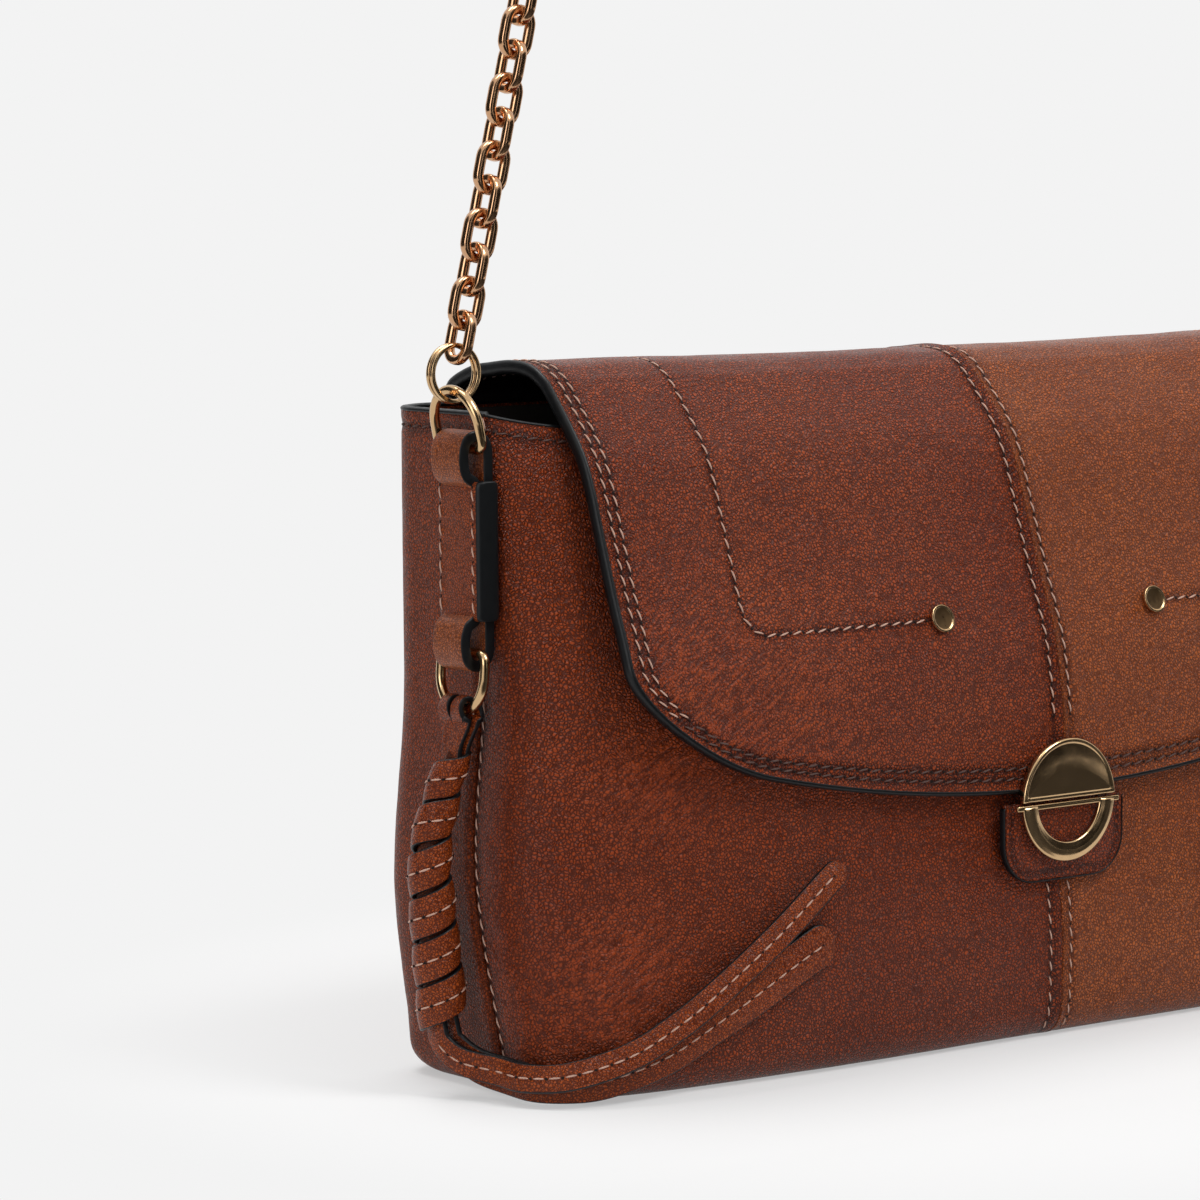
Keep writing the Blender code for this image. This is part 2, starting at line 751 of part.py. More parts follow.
def make_lock():
    flap_face = flap_point(0, FLAP_LENGTHS[-1], 0).y
    plate_back = flap_face - AIR
    plate_front = plate_back - LOCK_PLATE
    body_face = front_y(LOCK_SPLIT_HEIGHT - PATCH_HEIGHT) - AIR
    patch_front = body_face - PATCH_THICKNESS

    rise = math.asin(LOCK_SPLIT_GAP / 2 / LOCK_RADIUS)
    outline = half_disc(LOCK_RADIUS, rise, math.pi - rise, 20)
    middle = (plate_back + plate_front) / 2
    upper = flat_outline(
        "lock_upper_plate",
        [outline],
        LOCK_PLATE / 2,
        GOLD,
        facing_front(middle, LOCK_SPLIT_HEIGHT),
    )
    upper = mesh_from(upper)
    bevel(upper, LOCK_BEVEL)

    fall = math.asin(LOCK_BAR_DROP / LOCK_RADIUS)
    inner_fall = math.asin(LOCK_BAR_DROP / (LOCK_RADIUS - LOCK_BAND))
    band = half_disc(LOCK_RADIUS, -fall, -math.pi + fall, 20)
    band += half_disc(LOCK_RADIUS - LOCK_BAND, -math.pi + inner_fall, -inner_fall, 14)
    plate_depth = (patch_front - AIR) - plate_front
    middle = (patch_front - AIR + plate_front) / 2
    lower = flat_outline(
        "lock_lower_plate",
        [band],
        plate_depth / 2,
        GOLD,
        facing_front(middle, LOCK_SPLIT_HEIGHT),
    )
    lower = mesh_from(lower)
    bevel(lower, LOCK_BEVEL)
    reach = LOCK_RADIUS + LOCK_BAR_OVERHANG
    top = LOCK_SPLIT_HEIGHT - LOCK_SPLIT_GAP / 2
    bar = box(
        "lock_split_bar",
        (-reach, plate_front + LOCK_BEVEL, top - LOCK_BAR_DROP - LOCK_BEVEL),
        (reach, patch_front - AIR - LOCK_BEVEL, top),
        GOLD,
    )
    as_cutter(bar)
    boolean(lower, bar, "UNION")

    half = LOCK_RADIUS + PATCH_MARGIN
    low = -PATCH_HEIGHT
    radius = PATCH_CORNER
    corner_left = half_disc(radius, math.pi, 1.5 * math.pi, 6)
    corner_right = half_disc(radius, -math.pi / 2, 0, 6)
    outline = [(-half, 0)] + [(x - half + radius, z + low + radius) for x, z in corner_left]
    outline += [(x + half - radius, z + low + radius) for x, z in corner_right] + [(half, 0)]
    patch = flat_outline(
        "lock_patch",
        [outline],
        PATCH_THICKNESS / 2,
        LEATHER_TAN,
        facing_front(body_face - PATCH_THICKNESS / 2, LOCK_SPLIT_HEIGHT),
    )
    patch = mesh_from(patch)

    # Each magnet sits in a blind pocket behind its plate or patch
    for name, holder, face, height in (
        ("lock_magnet_flap", upper, plate_back, LOCK_SPLIT_HEIGHT + MAGNET_OFFSET),
        ("lock_magnet_body", patch, body_face, LOCK_SPLIT_HEIGHT - MAGNET_OFFSET),
    ):
        stand = stood(Vector((0, face - MAGNET_THICKNESS / 2, height)), Vector((0, 1, 0)))
        pocket_depth = 2 * (MAGNET_THICKNESS / 2 + AIR)
        cutter = cylinder_cutter(name + "_pocket", MAGNET_RADIUS + AIR, pocket_depth, stand)
        boolean(holder, cutter, "DIFFERENCE")
        half_thick = (MAGNET_THICKNESS - AIR) / 2
        profile = (
            (0, half_thick),
            (MAGNET_RADIUS, half_thick),
            (MAGNET_RADIUS, -half_thick),
            (0, -half_thick),
        )
        turned(name, profile, STEEL, stand, 16)


# Side tabs and rings


def bar_x():
    return HALF_WIDTH + AIR + TAB_INNER_LAYER + TAB_EYE_WIDTH / 2


def upper_bar_z():
    return TAB_TOP - TAB_OUTER_LAYER - RING_SLACK - RING_WIRE_RADIUS


def lower_bar_z():
    return TAB_BOTTOM + TAB_OUTER_LAYER + RING_SLACK + RING_WIRE_RADIUS


def stadium(x_low, x_high, z_low, z_high, steps=6):
    """A closed outline with round ends, upright."""
    radius = (x_high - x_low) / 2
    middle = (x_high + x_low) / 2
    top = half_disc(radius, 0, math.pi, steps)
    low = half_disc(radius, math.pi, 2 * math.pi, steps)
    upper = [(middle + x, z_high - radius + z) for x, z in top]
    return upper + [(middle + x, z_low + radius + z) for x, z in low]


def make_tab(side, sign):
    """Two layers sewn flat, with a loop left open at each end for a ring's bar."""
    inner = HALF_WIDTH + AIR
    hole_low = inner + TAB_INNER_LAYER
    hole_high = hole_low + TAB_EYE_WIDTH
    outer = hole_high + TAB_OUTER_LAYER
    stand = Matrix.Rotation(math.pi / 2, 4, "X")
    if sign < 0:
        stand = Matrix.Rotation(math.pi, 4, "Z") @ stand
    loops = []
    for z_low, z_high in (
        (TAB_TOP - TAB_LOOP_HEIGHT, TAB_TOP),
        (TAB_BOTTOM, TAB_BOTTOM + TAB_LOOP_HEIGHT),
    ):
        loop = stadium(inner, outer, z_low, z_high)
        eye_low = z_low + TAB_OUTER_LAYER
        eye_high = z_high - TAB_OUTER_LAYER
        eye = stadium(hole_low, hole_high, eye_low, eye_high)
        made = flat_outline("tab_loop", [loop, eye], TAB_LOOP_WIDTH / 2, LEATHER_TAN, stand)
        loops.append(mesh_from(made))
    flat_low = TAB_BOTTOM + TAB_LOOP_HEIGHT - TAB_OUTER_LAYER / 2
    flat_high = TAB_TOP - TAB_LOOP_HEIGHT + TAB_OUTER_LAYER / 2
    low_x, high_x = sorted((sign * inner, sign * (inner + TAB_FLAT_THICKNESS)))
    tab = box(
        "tab_" + side,
        (low_x, -TAB_WIDTH / 2, flat_low),
        (high_x, TAB_WIDTH / 2, flat_high),
        LEATHER_TAN,
    )
    for number, loop in enumerate(loops):
        loop.name = "tab_%s_loop_%d" % (side, number)
        as_cutter(loop)
        boolean(tab, loop, "UNION")


def wire_object(name, points, radius, resolution, look, cyclic, origin, turn):
    """A wire through the points, which are given about its own origin."""
    curve = bpy.data.curves.new(name, "CURVE")
    curve.dimensions = "3D"
    curve.bevel_depth = radius
    curve.bevel_resolution = resolution
    curve.use_fill_caps = not cyclic
    line = curve.splines.new("POLY")
    line.points.add(len(points) - 1)
    for spot, target in zip(points, line.points):
        target.co = (*spot, 1)
    line.use_cyclic_u = cyclic
    made = add_object(name, curve, look)
    made.matrix_world = Matrix.Translation(origin) @ turn
    return made


def d_ring_points():
    """Centre line of a D ring: a straight bar on the Y axis and a round bow above it."""
    half, corner = RING_HALF_WIDTH, RING_CORNER_RADIUS
    points = [
        (0, half * math.cos(math.pi * i / 8), RING_REACH - half + half * math.sin(math.pi * i / 8))
        for i in range(9)
    ]
    for centre, start in ((-(half - corner), math.pi), (half - corner, 1.5 * math.pi)):
        for i in range(4):
            angle = start + math.pi / 2 * i / 3
            points.append((0, centre + corner * math.cos(angle), corner + corner * math.sin(angle)))
    return points


def upper_bow(sign):
    """Centre of the upper ring's bow."""
    x = bar_x() + RING_REACH * math.sin(UPPER_RING_LEAN)
    return Vector((sign * x, 0, upper_bar_z() + RING_REACH * math.cos(UPPER_RING_LEAN)))


def lower_bow(sign):
    x = bar_x() + RING_REACH * math.sin(LOWER_RING_LEAN)
    return Vector((sign * x, 0, lower_bar_z() - RING_REACH * math.cos(LOWER_RING_LEAN)))


def make_rings(side, sign):
    points = d_ring_points()
    lean_up = Matrix.Rotation(sign * UPPER_RING_LEAN, 4, "Y")
    upper_at = (sign * bar_x(), 0, upper_bar_z())
    wire_object("upper_ring_" + side, points, RING_WIRE_RADIUS, 1, GOLD, True, upper_at, lean_up)
    lean_down = Matrix.Rotation(math.pi - sign * LOWER_RING_LEAN, 4, "Y")
    lower_at = (sign * bar_x(), 0, lower_bar_z())
    wire_object("lower_ring_" + side, points, RING_WIRE_RADIUS, 1, GOLD, True, lower_at, lean_down)


# Chain strap


def chain_direction(sign):
    return Vector((-sign * math.sin(CHAIN_LEAN), 0, math.cos(CHAIN_LEAN)))


def split_centre(sign):
    rise = SPLIT_RADIUS - SPLIT_WIRE_RADIUS - RING_WIRE_RADIUS - SPLIT_PLAY
    return upper_bow(sign) + rise * chain_direction(sign)


def winding_gap(stations, per_turn, radius):
    """Least distance between points of a winding half a turn or more apart, less its wire."""
    least = math.inf
    for i, here in enumerate(stations):
        for there in stations[i + per_turn // 2 :]:
            least = min(least, min((a - b).length for a in here for b in there))
    return least - 2 * radius


def make_split_ring(side, sign):
    steps = 14
    count = round(SPLIT_TURNS * steps)
    points = []
    for i in range(count + 1):
        angle = 2 * math.pi * i / steps
        along = SPLIT_PITCH * (i / steps - SPLIT_TURNS / 2)
        points.append((SPLIT_RADIUS * math.cos(angle), along, SPLIT_RADIUS * math.sin(angle)))
    gap = winding_gap([[Vector(p)] for p in points], steps, SPLIT_WIRE_RADIUS)
    print("split_ring_%s: least gap to itself %.2f mm" % (side, 1000 * gap))
    turn = Matrix.Rotation(sign * CHAIN_LEAN, 4, "Y")
    wire_object(
        "split_ring_" + side, points, SPLIT_WIRE_RADIUS, 1, GOLD, False, split_centre(sign), turn
    )


def link_pitch():
    return LINK_LENGTH - 4 * LINK_WIRE_RADIUS - AIR


def first_link_distance():
    """From a split ring's centre to the middle of the first link, along the chain."""
    hook = SPLIT_RADIUS - SPLIT_WIRE_RADIUS - LINK_WIRE_RADIUS - SPLIT_HOOK_PLAY
    return hook + LINK_LENGTH / 2 - LINK_WIRE_RADIUS


def chain_place(distance):
    """Centre and direction on the strap, by distance from the left split ring's centre.
    Two straight legs lean inward and a round arch joins them."""
    start = split_centre(-1)
    half_span = -start.x
    whole = 2 * first_link_distance() + (LINK_COUNT - 1) * link_pitch()
    sine, cosine = math.sin(CHAIN_LEAN), math.cos(CHAIN_LEAN)
    sweep = math.pi - 2 * CHAIN_LEAN
    fixed = 2 * half_span * sine + half_span * cosine * sweep
    centre_rise = (whole - fixed) / (2 * cosine - sine * sweep)
    radius = half_span * cosine - centre_rise * sine
    leg = half_span * sine + centre_rise * cosine
    sign = -1
    if distance > whole / 2:
        distance = whole - distance
        sign = 1
    if distance <= leg:
        spot = split_centre(sign) + distance * chain_direction(sign)
        along = chain_direction(sign)
    else:
        angle = math.pi - CHAIN_LEAN - (distance - leg) / radius
        out = Vector((math.cos(angle), 0, math.sin(angle)))
        spot = Vector((0, 0, start.z + centre_rise)) + radius * out
        along = Vector((out.z, 0, -out.x))
        if sign > 0:
            spot.x = -spot.x
            along.x = -along.x
    if sign > 0:
        along = -along
    return spot, along


def link_points(length, bend_steps):
    """Centre line of a link, long along X, in the plane of X and Y."""
    radius = LINK_WIDTH / 2 - LINK_WIRE_RADIUS
    straight = length / 2 - LINK_WIDTH / 2
    points = []
    for shift, start in ((straight, -math.pi / 2), (-straight, math.pi / 2)):
        for i in range(bend_steps + 1):
            angle = start + math.pi * i / bend_steps
            points.append((shift + radius * math.cos(angle), radius * math.sin(angle), 0))
    return points


def link_stand(number, shift=0.0):
    distance = first_link_distance() + number * link_pitch()
    spot, along = chain_place(distance + shift)
    across = Vector((0, 1, 0))
    normal = along.cross(across)
    if number % 2:
        across, normal = normal, -across
    turn = Matrix((along, across, normal)).transposed().to_4x4()
    return Matrix.Translation(spot) @ turn


def make_chain():
    """Loose links next to each side, and the rest of the strap as one run of joined links."""
    loose = link_points(LINK_LENGTH, 4)
    for number in range(LOOSE_LINKS):
        for side, index in (("left", number), ("right", LINK_COUNT - 1 - number)):
            name = "chain_link_%s_%02d" % (side, number + 1)
            stand = link_stand(index)
            turn = stand.to_3x3().to_4x4()
            wire_object(name, loose, LINK_WIRE_RADIUS, 1, GOLD, True, stand.translation, turn)
    joined_length = LINK_LENGTH - AIR - LINK_OVERLAP
    plain = link_points(joined_length, 2)
    groups = []
    middle = (LINK_COUNT - 1) / 2
    reach = middle - LOOSE_LINKS
    for parity in (0, 1):
        form = bmesh.new()
        for index in range(LOOSE_LINKS, LINK_COUNT - LOOSE_LINKS):
            if index % 2 != parity:
                continue
            shift = ARCH_SHIFT * (index - middle) / reach
            made = wire_object(
                "link", plain, LINK_WIRE_RADIUS, 0, GOLD, True, (0, 0, 0), Matrix.Identity(4)
            )
            made = mesh_from(made)
            made.data.transform(link_stand(index, shift))
            form.from_mesh(made.data)
            bpy.data.objects.remove(made)
        name = "chain_arch" if parity == 0 else "chain_arch_alternate_links"
        groups.append(finish_mesh(name, form, GOLD))
    run, others = groups
    as_cutter(others)
    boolean(run, others, "UNION")


# Tassels


def loft(rings, closed=False):
    """A closed solid through rings of as many points each."""
    form = bmesh.new()
    rows = [[form.verts.new(p) for p in ring] for ring in rings]
    count = len(rows[0])
    pairs = list(zip(rows, rows[1:])) + ([(rows[-1], rows[0])] if closed else [])
    for low, high in pairs:
        for i in range(count):
            j = (i + 1) % count
            form.faces.new((low[i], low[j], high[j], high[i]))
    if not closed:
        form.faces.new(rows[0])
        form.faces.new(rows[-1])
    bmesh.ops.recalc_face_normals(form, faces=form.faces)
    return form


def ribbon_ring(centre, wide, thick):
    upper, lower = centre + thick, centre - thick
    return [upper + wide, upper - wide, lower - wide, lower + wide]


def handed(points, sign):
    """Points given from the bag's side, for the left or the right one."""
    return [Vector((sign * (HALF_WIDTH + p[0]), p[1], p[2])) for p in points]


def body_outward(spot):
    """Level direction away from the bag at a point beside it."""
    z = max(spot.z, BOTTOM_RADIUS)
    x = spot.x / side_x(z)
    y = (spot.y - seam_y(z)) / (seam_y(z) - front_y(z)) if spot.y < seam_y(z) else 0
    power = FRONT_ROUNDNESS - 1
    across = math.copysign(abs(x) ** power / side_x(z), x)
    forward = math.copysign(abs(y) ** power / (seam_y(z) - front_y(z)), y)
    return Vector((across, forward, 0)).normalized()


def make_tail(name, path, width, sign):
    """A flat lace on its edge that follows the bag, with a pointed end."""
    run = spline(handed(path, sign), 3)
    rings = []
    for i, spot in enumerate(run):
        along = (run[min(i + 1, len(run) - 1)] - run[max(i - 1, 0)]).normalized()
        out = body_outward(spot)
        wide = out.cross(along).normalized()
        out = along.cross(wide).normalized()
        share = TIP_SHARE if i == len(run) - 1 else 1
        rings.append(ribbon_ring(spot, wide * width * share / 2, out * LACE_THICKNESS / 2))
    finish_mesh(name, loft(rings), LACE)


def stem_frames(sign, steps):
    """Centre, direction and two cross directions along the wrapped stem."""
    height = lower_bow(sign).z - STEM_FOOT
    spots = [(out, y, STEM_FOOT + share * height) for out, y, share in STEM_PATH]
    run = resample(spline(handed(spots, sign), 6), steps)
    frames = []
    for i, spot in enumerate(run):
        along = (run[min(i + 1, steps)] - run[max(i - 1, 0)]).normalized()
        side = along.cross(Vector((0, 1, 0))).normalized()
        frames.append((spot, along, side, along.cross(side)))
    return frames


def wrap_radius(share):
    return WRAP_TOP_RADIUS + (WRAP_BOTTOM_RADIUS - WRAP_TOP_RADIUS) * math.sin(math.pi / 2 * share)


def make_wrap(side, sign):
    """One flat strap wound down the stem, turn below turn."""
    steps = WRAP_TURNS * WRAP_STEPS
    frames = stem_frames(sign, steps)
    length = sum((b[0] - a[0]).length for a, b in zip(frames, frames[1:]))
    turn_height = length / (WRAP_TURNS + 1)
    strap_width = turn_height - WRAP_GAP
    total = lengths([frame[0] for frame in frames])
    spots = [frame[0] for frame in frames]
    rings = []
    for i in range(steps + 1):
        share = i / steps
        angle = -sign * 2 * math.pi * i / WRAP_STEPS
        middle = strap_width / 2 + (length - strap_width) * share
        nearest = min(range(steps + 1), key=lambda k: abs(total[k] - middle))
        _, along, across, other = frames[nearest]
        out = math.cos(angle) * across + math.sin(angle) * other
        radius = wrap_radius(middle / length) - WRAP_THICKNESS / 2
        centre = point_at(spots, total, middle) + out * radius
        rings.append(ribbon_ring(centre, along * strap_width / 2, out * WRAP_THICKNESS / 2))
    gap = winding_gap(rings, WRAP_STEPS, 0)
    print("tassel_wrap_%s: least gap to itself %.2f mm" % (side, 1000 * gap))
    origin = lower_bow(sign)
    finish_mesh("tassel_wrap_" + side, loft(rings), LACE, origin)


def make_stem(side, sign):
    """The doubled lace: a loop over the ring's bow, and the stem inside the wrap."""
    frames = stem_frames(sign, 10)
    rings = []
    for i, (spot, _, across, other) in enumerate(frames):
        radius = wrap_radius(i / 10) - WRAP_THICKNESS - STEM_CLEARANCE
        ring = []
        for k in range(8):
            angle = math.pi / 4 * k
            ring.append(spot + radius * (math.cos(angle) * across + math.sin(angle) * other))
        rings.append(ring)
    stem = finish_mesh("tassel_stem_" + side, loft(rings), LACE)

    bow = lower_bow(sign)
    hold = RING_WIRE_RADIUS + AIR + LOOP_SPREAD + LACE_THICKNESS / 2
    foot = frames[0][0] - bow
    path = []
    for i in range(11):
        angle = math.radians(-50) + math.radians(280) * i / 10
        path.append(hold * Vector((math.cos(angle), 0, math.sin(angle))))
    path.append(foot + Vector((0, 0, LACE_THICKNESS / 4)))
    rings = []
    for i, spot in enumerate(path):
        along = (path[(i + 1) % len(path)] - path[i - 1]).normalized()
        wide = Vector((0, LOOP_WIDTH / 2, 0))
        out = along.cross(wide).normalized()
        rings.append(ribbon_ring(bow + spot, wide, out * LACE_THICKNESS / 2))
    loop = finish_mesh("tassel_loop_" + side, loft(rings, closed=True), LACE)
    as_cutter(loop)
    boolean(stem, loop, "UNION")


def make_tassel(side, sign):
    make_stem(side, sign)
    make_wrap(side, sign)
    make_tail("lace_tail_upper_" + side, UPPER_TAIL_PATH, UPPER_TAIL_WIDTH, sign)
    make_tail("lace_tail_lower_" + side, LOWER_TAIL_PATH, LOWER_TAIL_WIDTH, sign)


# Each moving group hangs from an empty on its joint's axis


def put_on_axis(name, spot, prefixes):
    """Parents the pieces, and the cutters that shape them, to an empty. They stay in place."""
    axis = bpy.data.objects.new(name, None)
    axis.location = spot
    BAG.objects.link(axis)
    for piece in list(BAG.objects):
        if not piece.name.startswith(prefixes):
            continue
        tools = [modifier.object for modifier in piece.modifiers if modifier.type == "BOOLEAN"]
        for member in [piece] + tools:
            member.parent = axis
            member.matrix_parent_inverse = Matrix.Translation(-Vector(spot))


def hang_moving_groups():
    hinge = (0, BACK_DEPTH, BODY_HEIGHT + AIR)
    on_flap = ("flap_", "rivet_", "lock_upper_plate", "lock_magnet_flap")
    put_on_axis("axis_flap_hinge", hinge, on_flap)
    put_on_axis("axis_strap_swing", (0, 0, upper_bow(1).z), ("split_ring_", "chain_"))
    for side, sign in SIDES:
        hung = ("tassel_stem_" + side, "lace_tail_upper_" + side, "lace_tail_lower_" + side)
        put_on_axis("axis_tassel_swing_" + side, lower_bow(sign), hung)


clear_scene()
BAG = collection("leather_shoulder_bag")
CUTTERS = collection("cutters")
LEATHER_BROWN = material("leather_brown", "#743a23", 0.45)
LEATHER_TAN = material("leather_tan", "#87492a", 0.45)
LEATHER_DARK = material("leather_dark", "#5f301f", 0.5)
LACE = material("lace_leather", "#8a4422", 0.5)
FABRIC = material("lining_fabric", "#2c2622", 0.85)
GOLD = material("gold_metal", "#c9a06a", 0.25, 1.0)
STEEL = material("magnet_steel", "#8d8f92", 0.35, 1.0)
FLAP_RUN = flap_profile()
FLAP_LENGTHS = lengths(FLAP_RUN)
make_body()
make_base()
make_lining()
make_pocket()
make_flap()
make_rivets()
make_lock()
for side_name, side_sign in SIDES:
    make_tab(side_name, side_sign)
    make_rings(side_name, side_sign)
    make_split_ring(side_name, side_sign)
    make_tassel(side_name, side_sign)
make_chain()
hang_moving_groups()
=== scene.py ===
# %% [markdown]
# # A leather shoulder bag, dressed in Blender
#
# The CAD model of the bag is loaded as a fixed frame. Every piece below is modelled in the
# same place and size as the solid it stands for, with the seams, stitches, painted edges
# and grain that the plain solid leaves out. +X is the bag's width, -Y its front, +Z up, and
# lengths are in metres unless a name says MM.

# %% Load the frame
import math

import bpy
import numpy as np
from mathutils import Matrix, Vector, noise


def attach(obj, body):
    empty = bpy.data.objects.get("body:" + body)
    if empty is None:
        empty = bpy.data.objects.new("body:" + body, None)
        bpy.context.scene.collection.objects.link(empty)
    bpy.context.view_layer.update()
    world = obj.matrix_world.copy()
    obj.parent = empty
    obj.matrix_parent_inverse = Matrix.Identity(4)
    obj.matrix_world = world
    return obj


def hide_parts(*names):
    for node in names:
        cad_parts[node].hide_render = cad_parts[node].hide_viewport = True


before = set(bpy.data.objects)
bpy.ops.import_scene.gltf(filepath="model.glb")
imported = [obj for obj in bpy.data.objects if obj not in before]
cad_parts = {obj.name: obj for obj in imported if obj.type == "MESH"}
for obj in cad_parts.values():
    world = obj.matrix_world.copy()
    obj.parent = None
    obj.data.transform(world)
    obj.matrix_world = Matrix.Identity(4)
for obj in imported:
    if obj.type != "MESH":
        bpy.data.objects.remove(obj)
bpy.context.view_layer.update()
MM = 0.001
QUARTER = math.pi / 2
SIDES = (("left", -1), ("right", 1))
print("CAD nodes:", len(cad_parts))

# %% [markdown]
# ## Camera
#
# The product was photographed with a long lens from a little above, on the bag's front left
# corner. The camera stands on a line from the aim point, and its small roll is kept because
# the bag's top edge runs by it in the picture.

# %% Camera
VIEW_AZIMUTH = math.radians(-37.84)
VIEW_ELEVATION = math.radians(5.72)
VIEW_ROLL = math.radians(0.42)
VIEW_DISTANCE = 1.257
AIM_ACROSS, AIM_UP = -0.0926, 0.1077
LENS_MM = 146.8
CLIP_START = 0.01

level = Vector((math.cos(VIEW_AZIMUTH), math.sin(VIEW_AZIMUTH), 0))
ahead = Vector((math.sin(VIEW_AZIMUTH), -math.cos(VIEW_AZIMUTH), 0))
back = math.cos(VIEW_ELEVATION) * ahead + math.sin(VIEW_ELEVATION) * Vector((0, 0, 1))
upward = back.cross(level)
right = math.cos(VIEW_ROLL) * level - math.sin(VIEW_ROLL) * upward
top = math.sin(VIEW_ROLL) * level + math.cos(VIEW_ROLL) * upward
place = AIM_ACROSS * level + AIM_UP * upward + VIEW_DISTANCE * back
bpy.ops.object.camera_add()
camera = bpy.context.object
camera.data.lens = LENS_MM
camera.data.clip_start = CLIP_START
camera.matrix_world = Matrix.Translation(place) @ Matrix((right, top, back)).transposed().to_4x4()
bpy.context.scene.camera = camera
bpy.context.scene.view_settings.view_transform = "Standard"
print("camera at", [round(v, 3) for v in place])


# %% [markdown]
# ## Helpers for materials
#
# Colours are written as a picture editor shows them, in sRGB hex, and one function turns them
# into the linear values that shaders use. One more function adds a node with its settings
# and its links, and the short ones below it call it for the nodes that come up often.


# %% Colour and node helpers
def linear(hex_colour):
    channels = [int(hex_colour[i : i + 2], 16) / 255 for i in (1, 3, 5)]
    light = [c / 12.92 if c <= 0.04045 else ((c + 0.055) / 1.055) ** 2.4 for c in channels]
    return (*light, 1)


def add_node(look, kind, inputs=None, **settings):
    """Adds a node. An input is a value, or another node's output to link from."""
    node = look.node_tree.nodes.new(kind)
    for name, value in settings.items():
        setattr(node, name, value)
    for name, value in (inputs or {}).items():
        if isinstance(value, bpy.types.NodeSocket):
            look.node_tree.links.new(value, node.inputs[name])
        else:
            node.inputs[name].default_value = value
    return node


def noise_node(look, spot, size_mm, detail, **inputs):
    inputs.update({"Vector": spot, "Scale": 1 / (size_mm * MM), "Detail": detail})
    return add_node(look, "ShaderNodeTexNoise", inputs).outputs


def mix_node(look, share, a, b, data_type="FLOAT"):
    inputs = {"Factor": share, "A": a, "B": b}
    return add_node(look, "ShaderNodeMix", inputs, data_type=data_type).outputs["Result"]


def map_node(look, value, low, high, to_low=0.0, to_high=1.0, **settings):
    inputs = {"Value": value, "From Min": low, "From Max": high}
    inputs.update({"To Min": to_low, "To Max": to_high})
    return add_node(look, "ShaderNodeMapRange", inputs, **settings).outputs["Result"]


def math_node(look, operation, *values, **settings):
    inputs = dict(enumerate(values))
    return add_node(look, "ShaderNodeMath", inputs, operation=operation, **settings).outputs[0]


def new_material(name):
    look = bpy.data.materials.new(name)
    look.use_nodes = True
    look.diffuse_color = (0.5, 0.3, 0.2, 1)
    return look, look.node_tree.nodes["Principled BSDF"]


def finish_surface(look, shader, height, strength, depth_mm, rough, specular):
    """Links a bump made from a height, and the roughness, to the shader."""
    relief = {"Height": height, "Strength": strength, "Distance": depth_mm * MM}
    bump = add_node(look, "ShaderNodeBump", relief)
    look.node_tree.links.new(bump.outputs["Normal"], shader.inputs["Normal"])
    look.node_tree.links.new(rough, shader.inputs["Roughness"])
    shader.inputs["Specular IOR Level"].default_value = specular


# %% [markdown]
# ## Leather
#
# The bag is cowhide with a pebbled grain, tanned brown and waxed, so it has a soft gloss. The
# grain is a Voronoi pattern whose cells are about a millimetre wide, with finer pores and
# stretched creases mixed in. Its hollows are painted darker, as painted shade in the grain. The
# colour wanders a little over a few centimetres. Two point attributes, set when a piece is
# shaped, steer this: seam paints shade into the leather beside its stitching, and drag turns
# pebbles into creases.


# %% Leather materials
GRAIN_MM, PORE_MM = 0.85, 0.4
MOTTLE_MM, STAIN_MM = 45, 5
TONE_ENDS = (0.32, 0.68)
WARP_MM, WARP_SHARE = 2.4, 0.0014
PORE_SHARE = 0.45
STREAK_MM, STREAK_ANGLE, STREAK_STRETCH = 0.8, math.radians(33), (5, 1.6, 1)
MOST_STREAKED = 0.7
# How far the seam mark darkens the leather beside stitching, as painted shade in the grooves.
SEAM_SHADE = 0.45


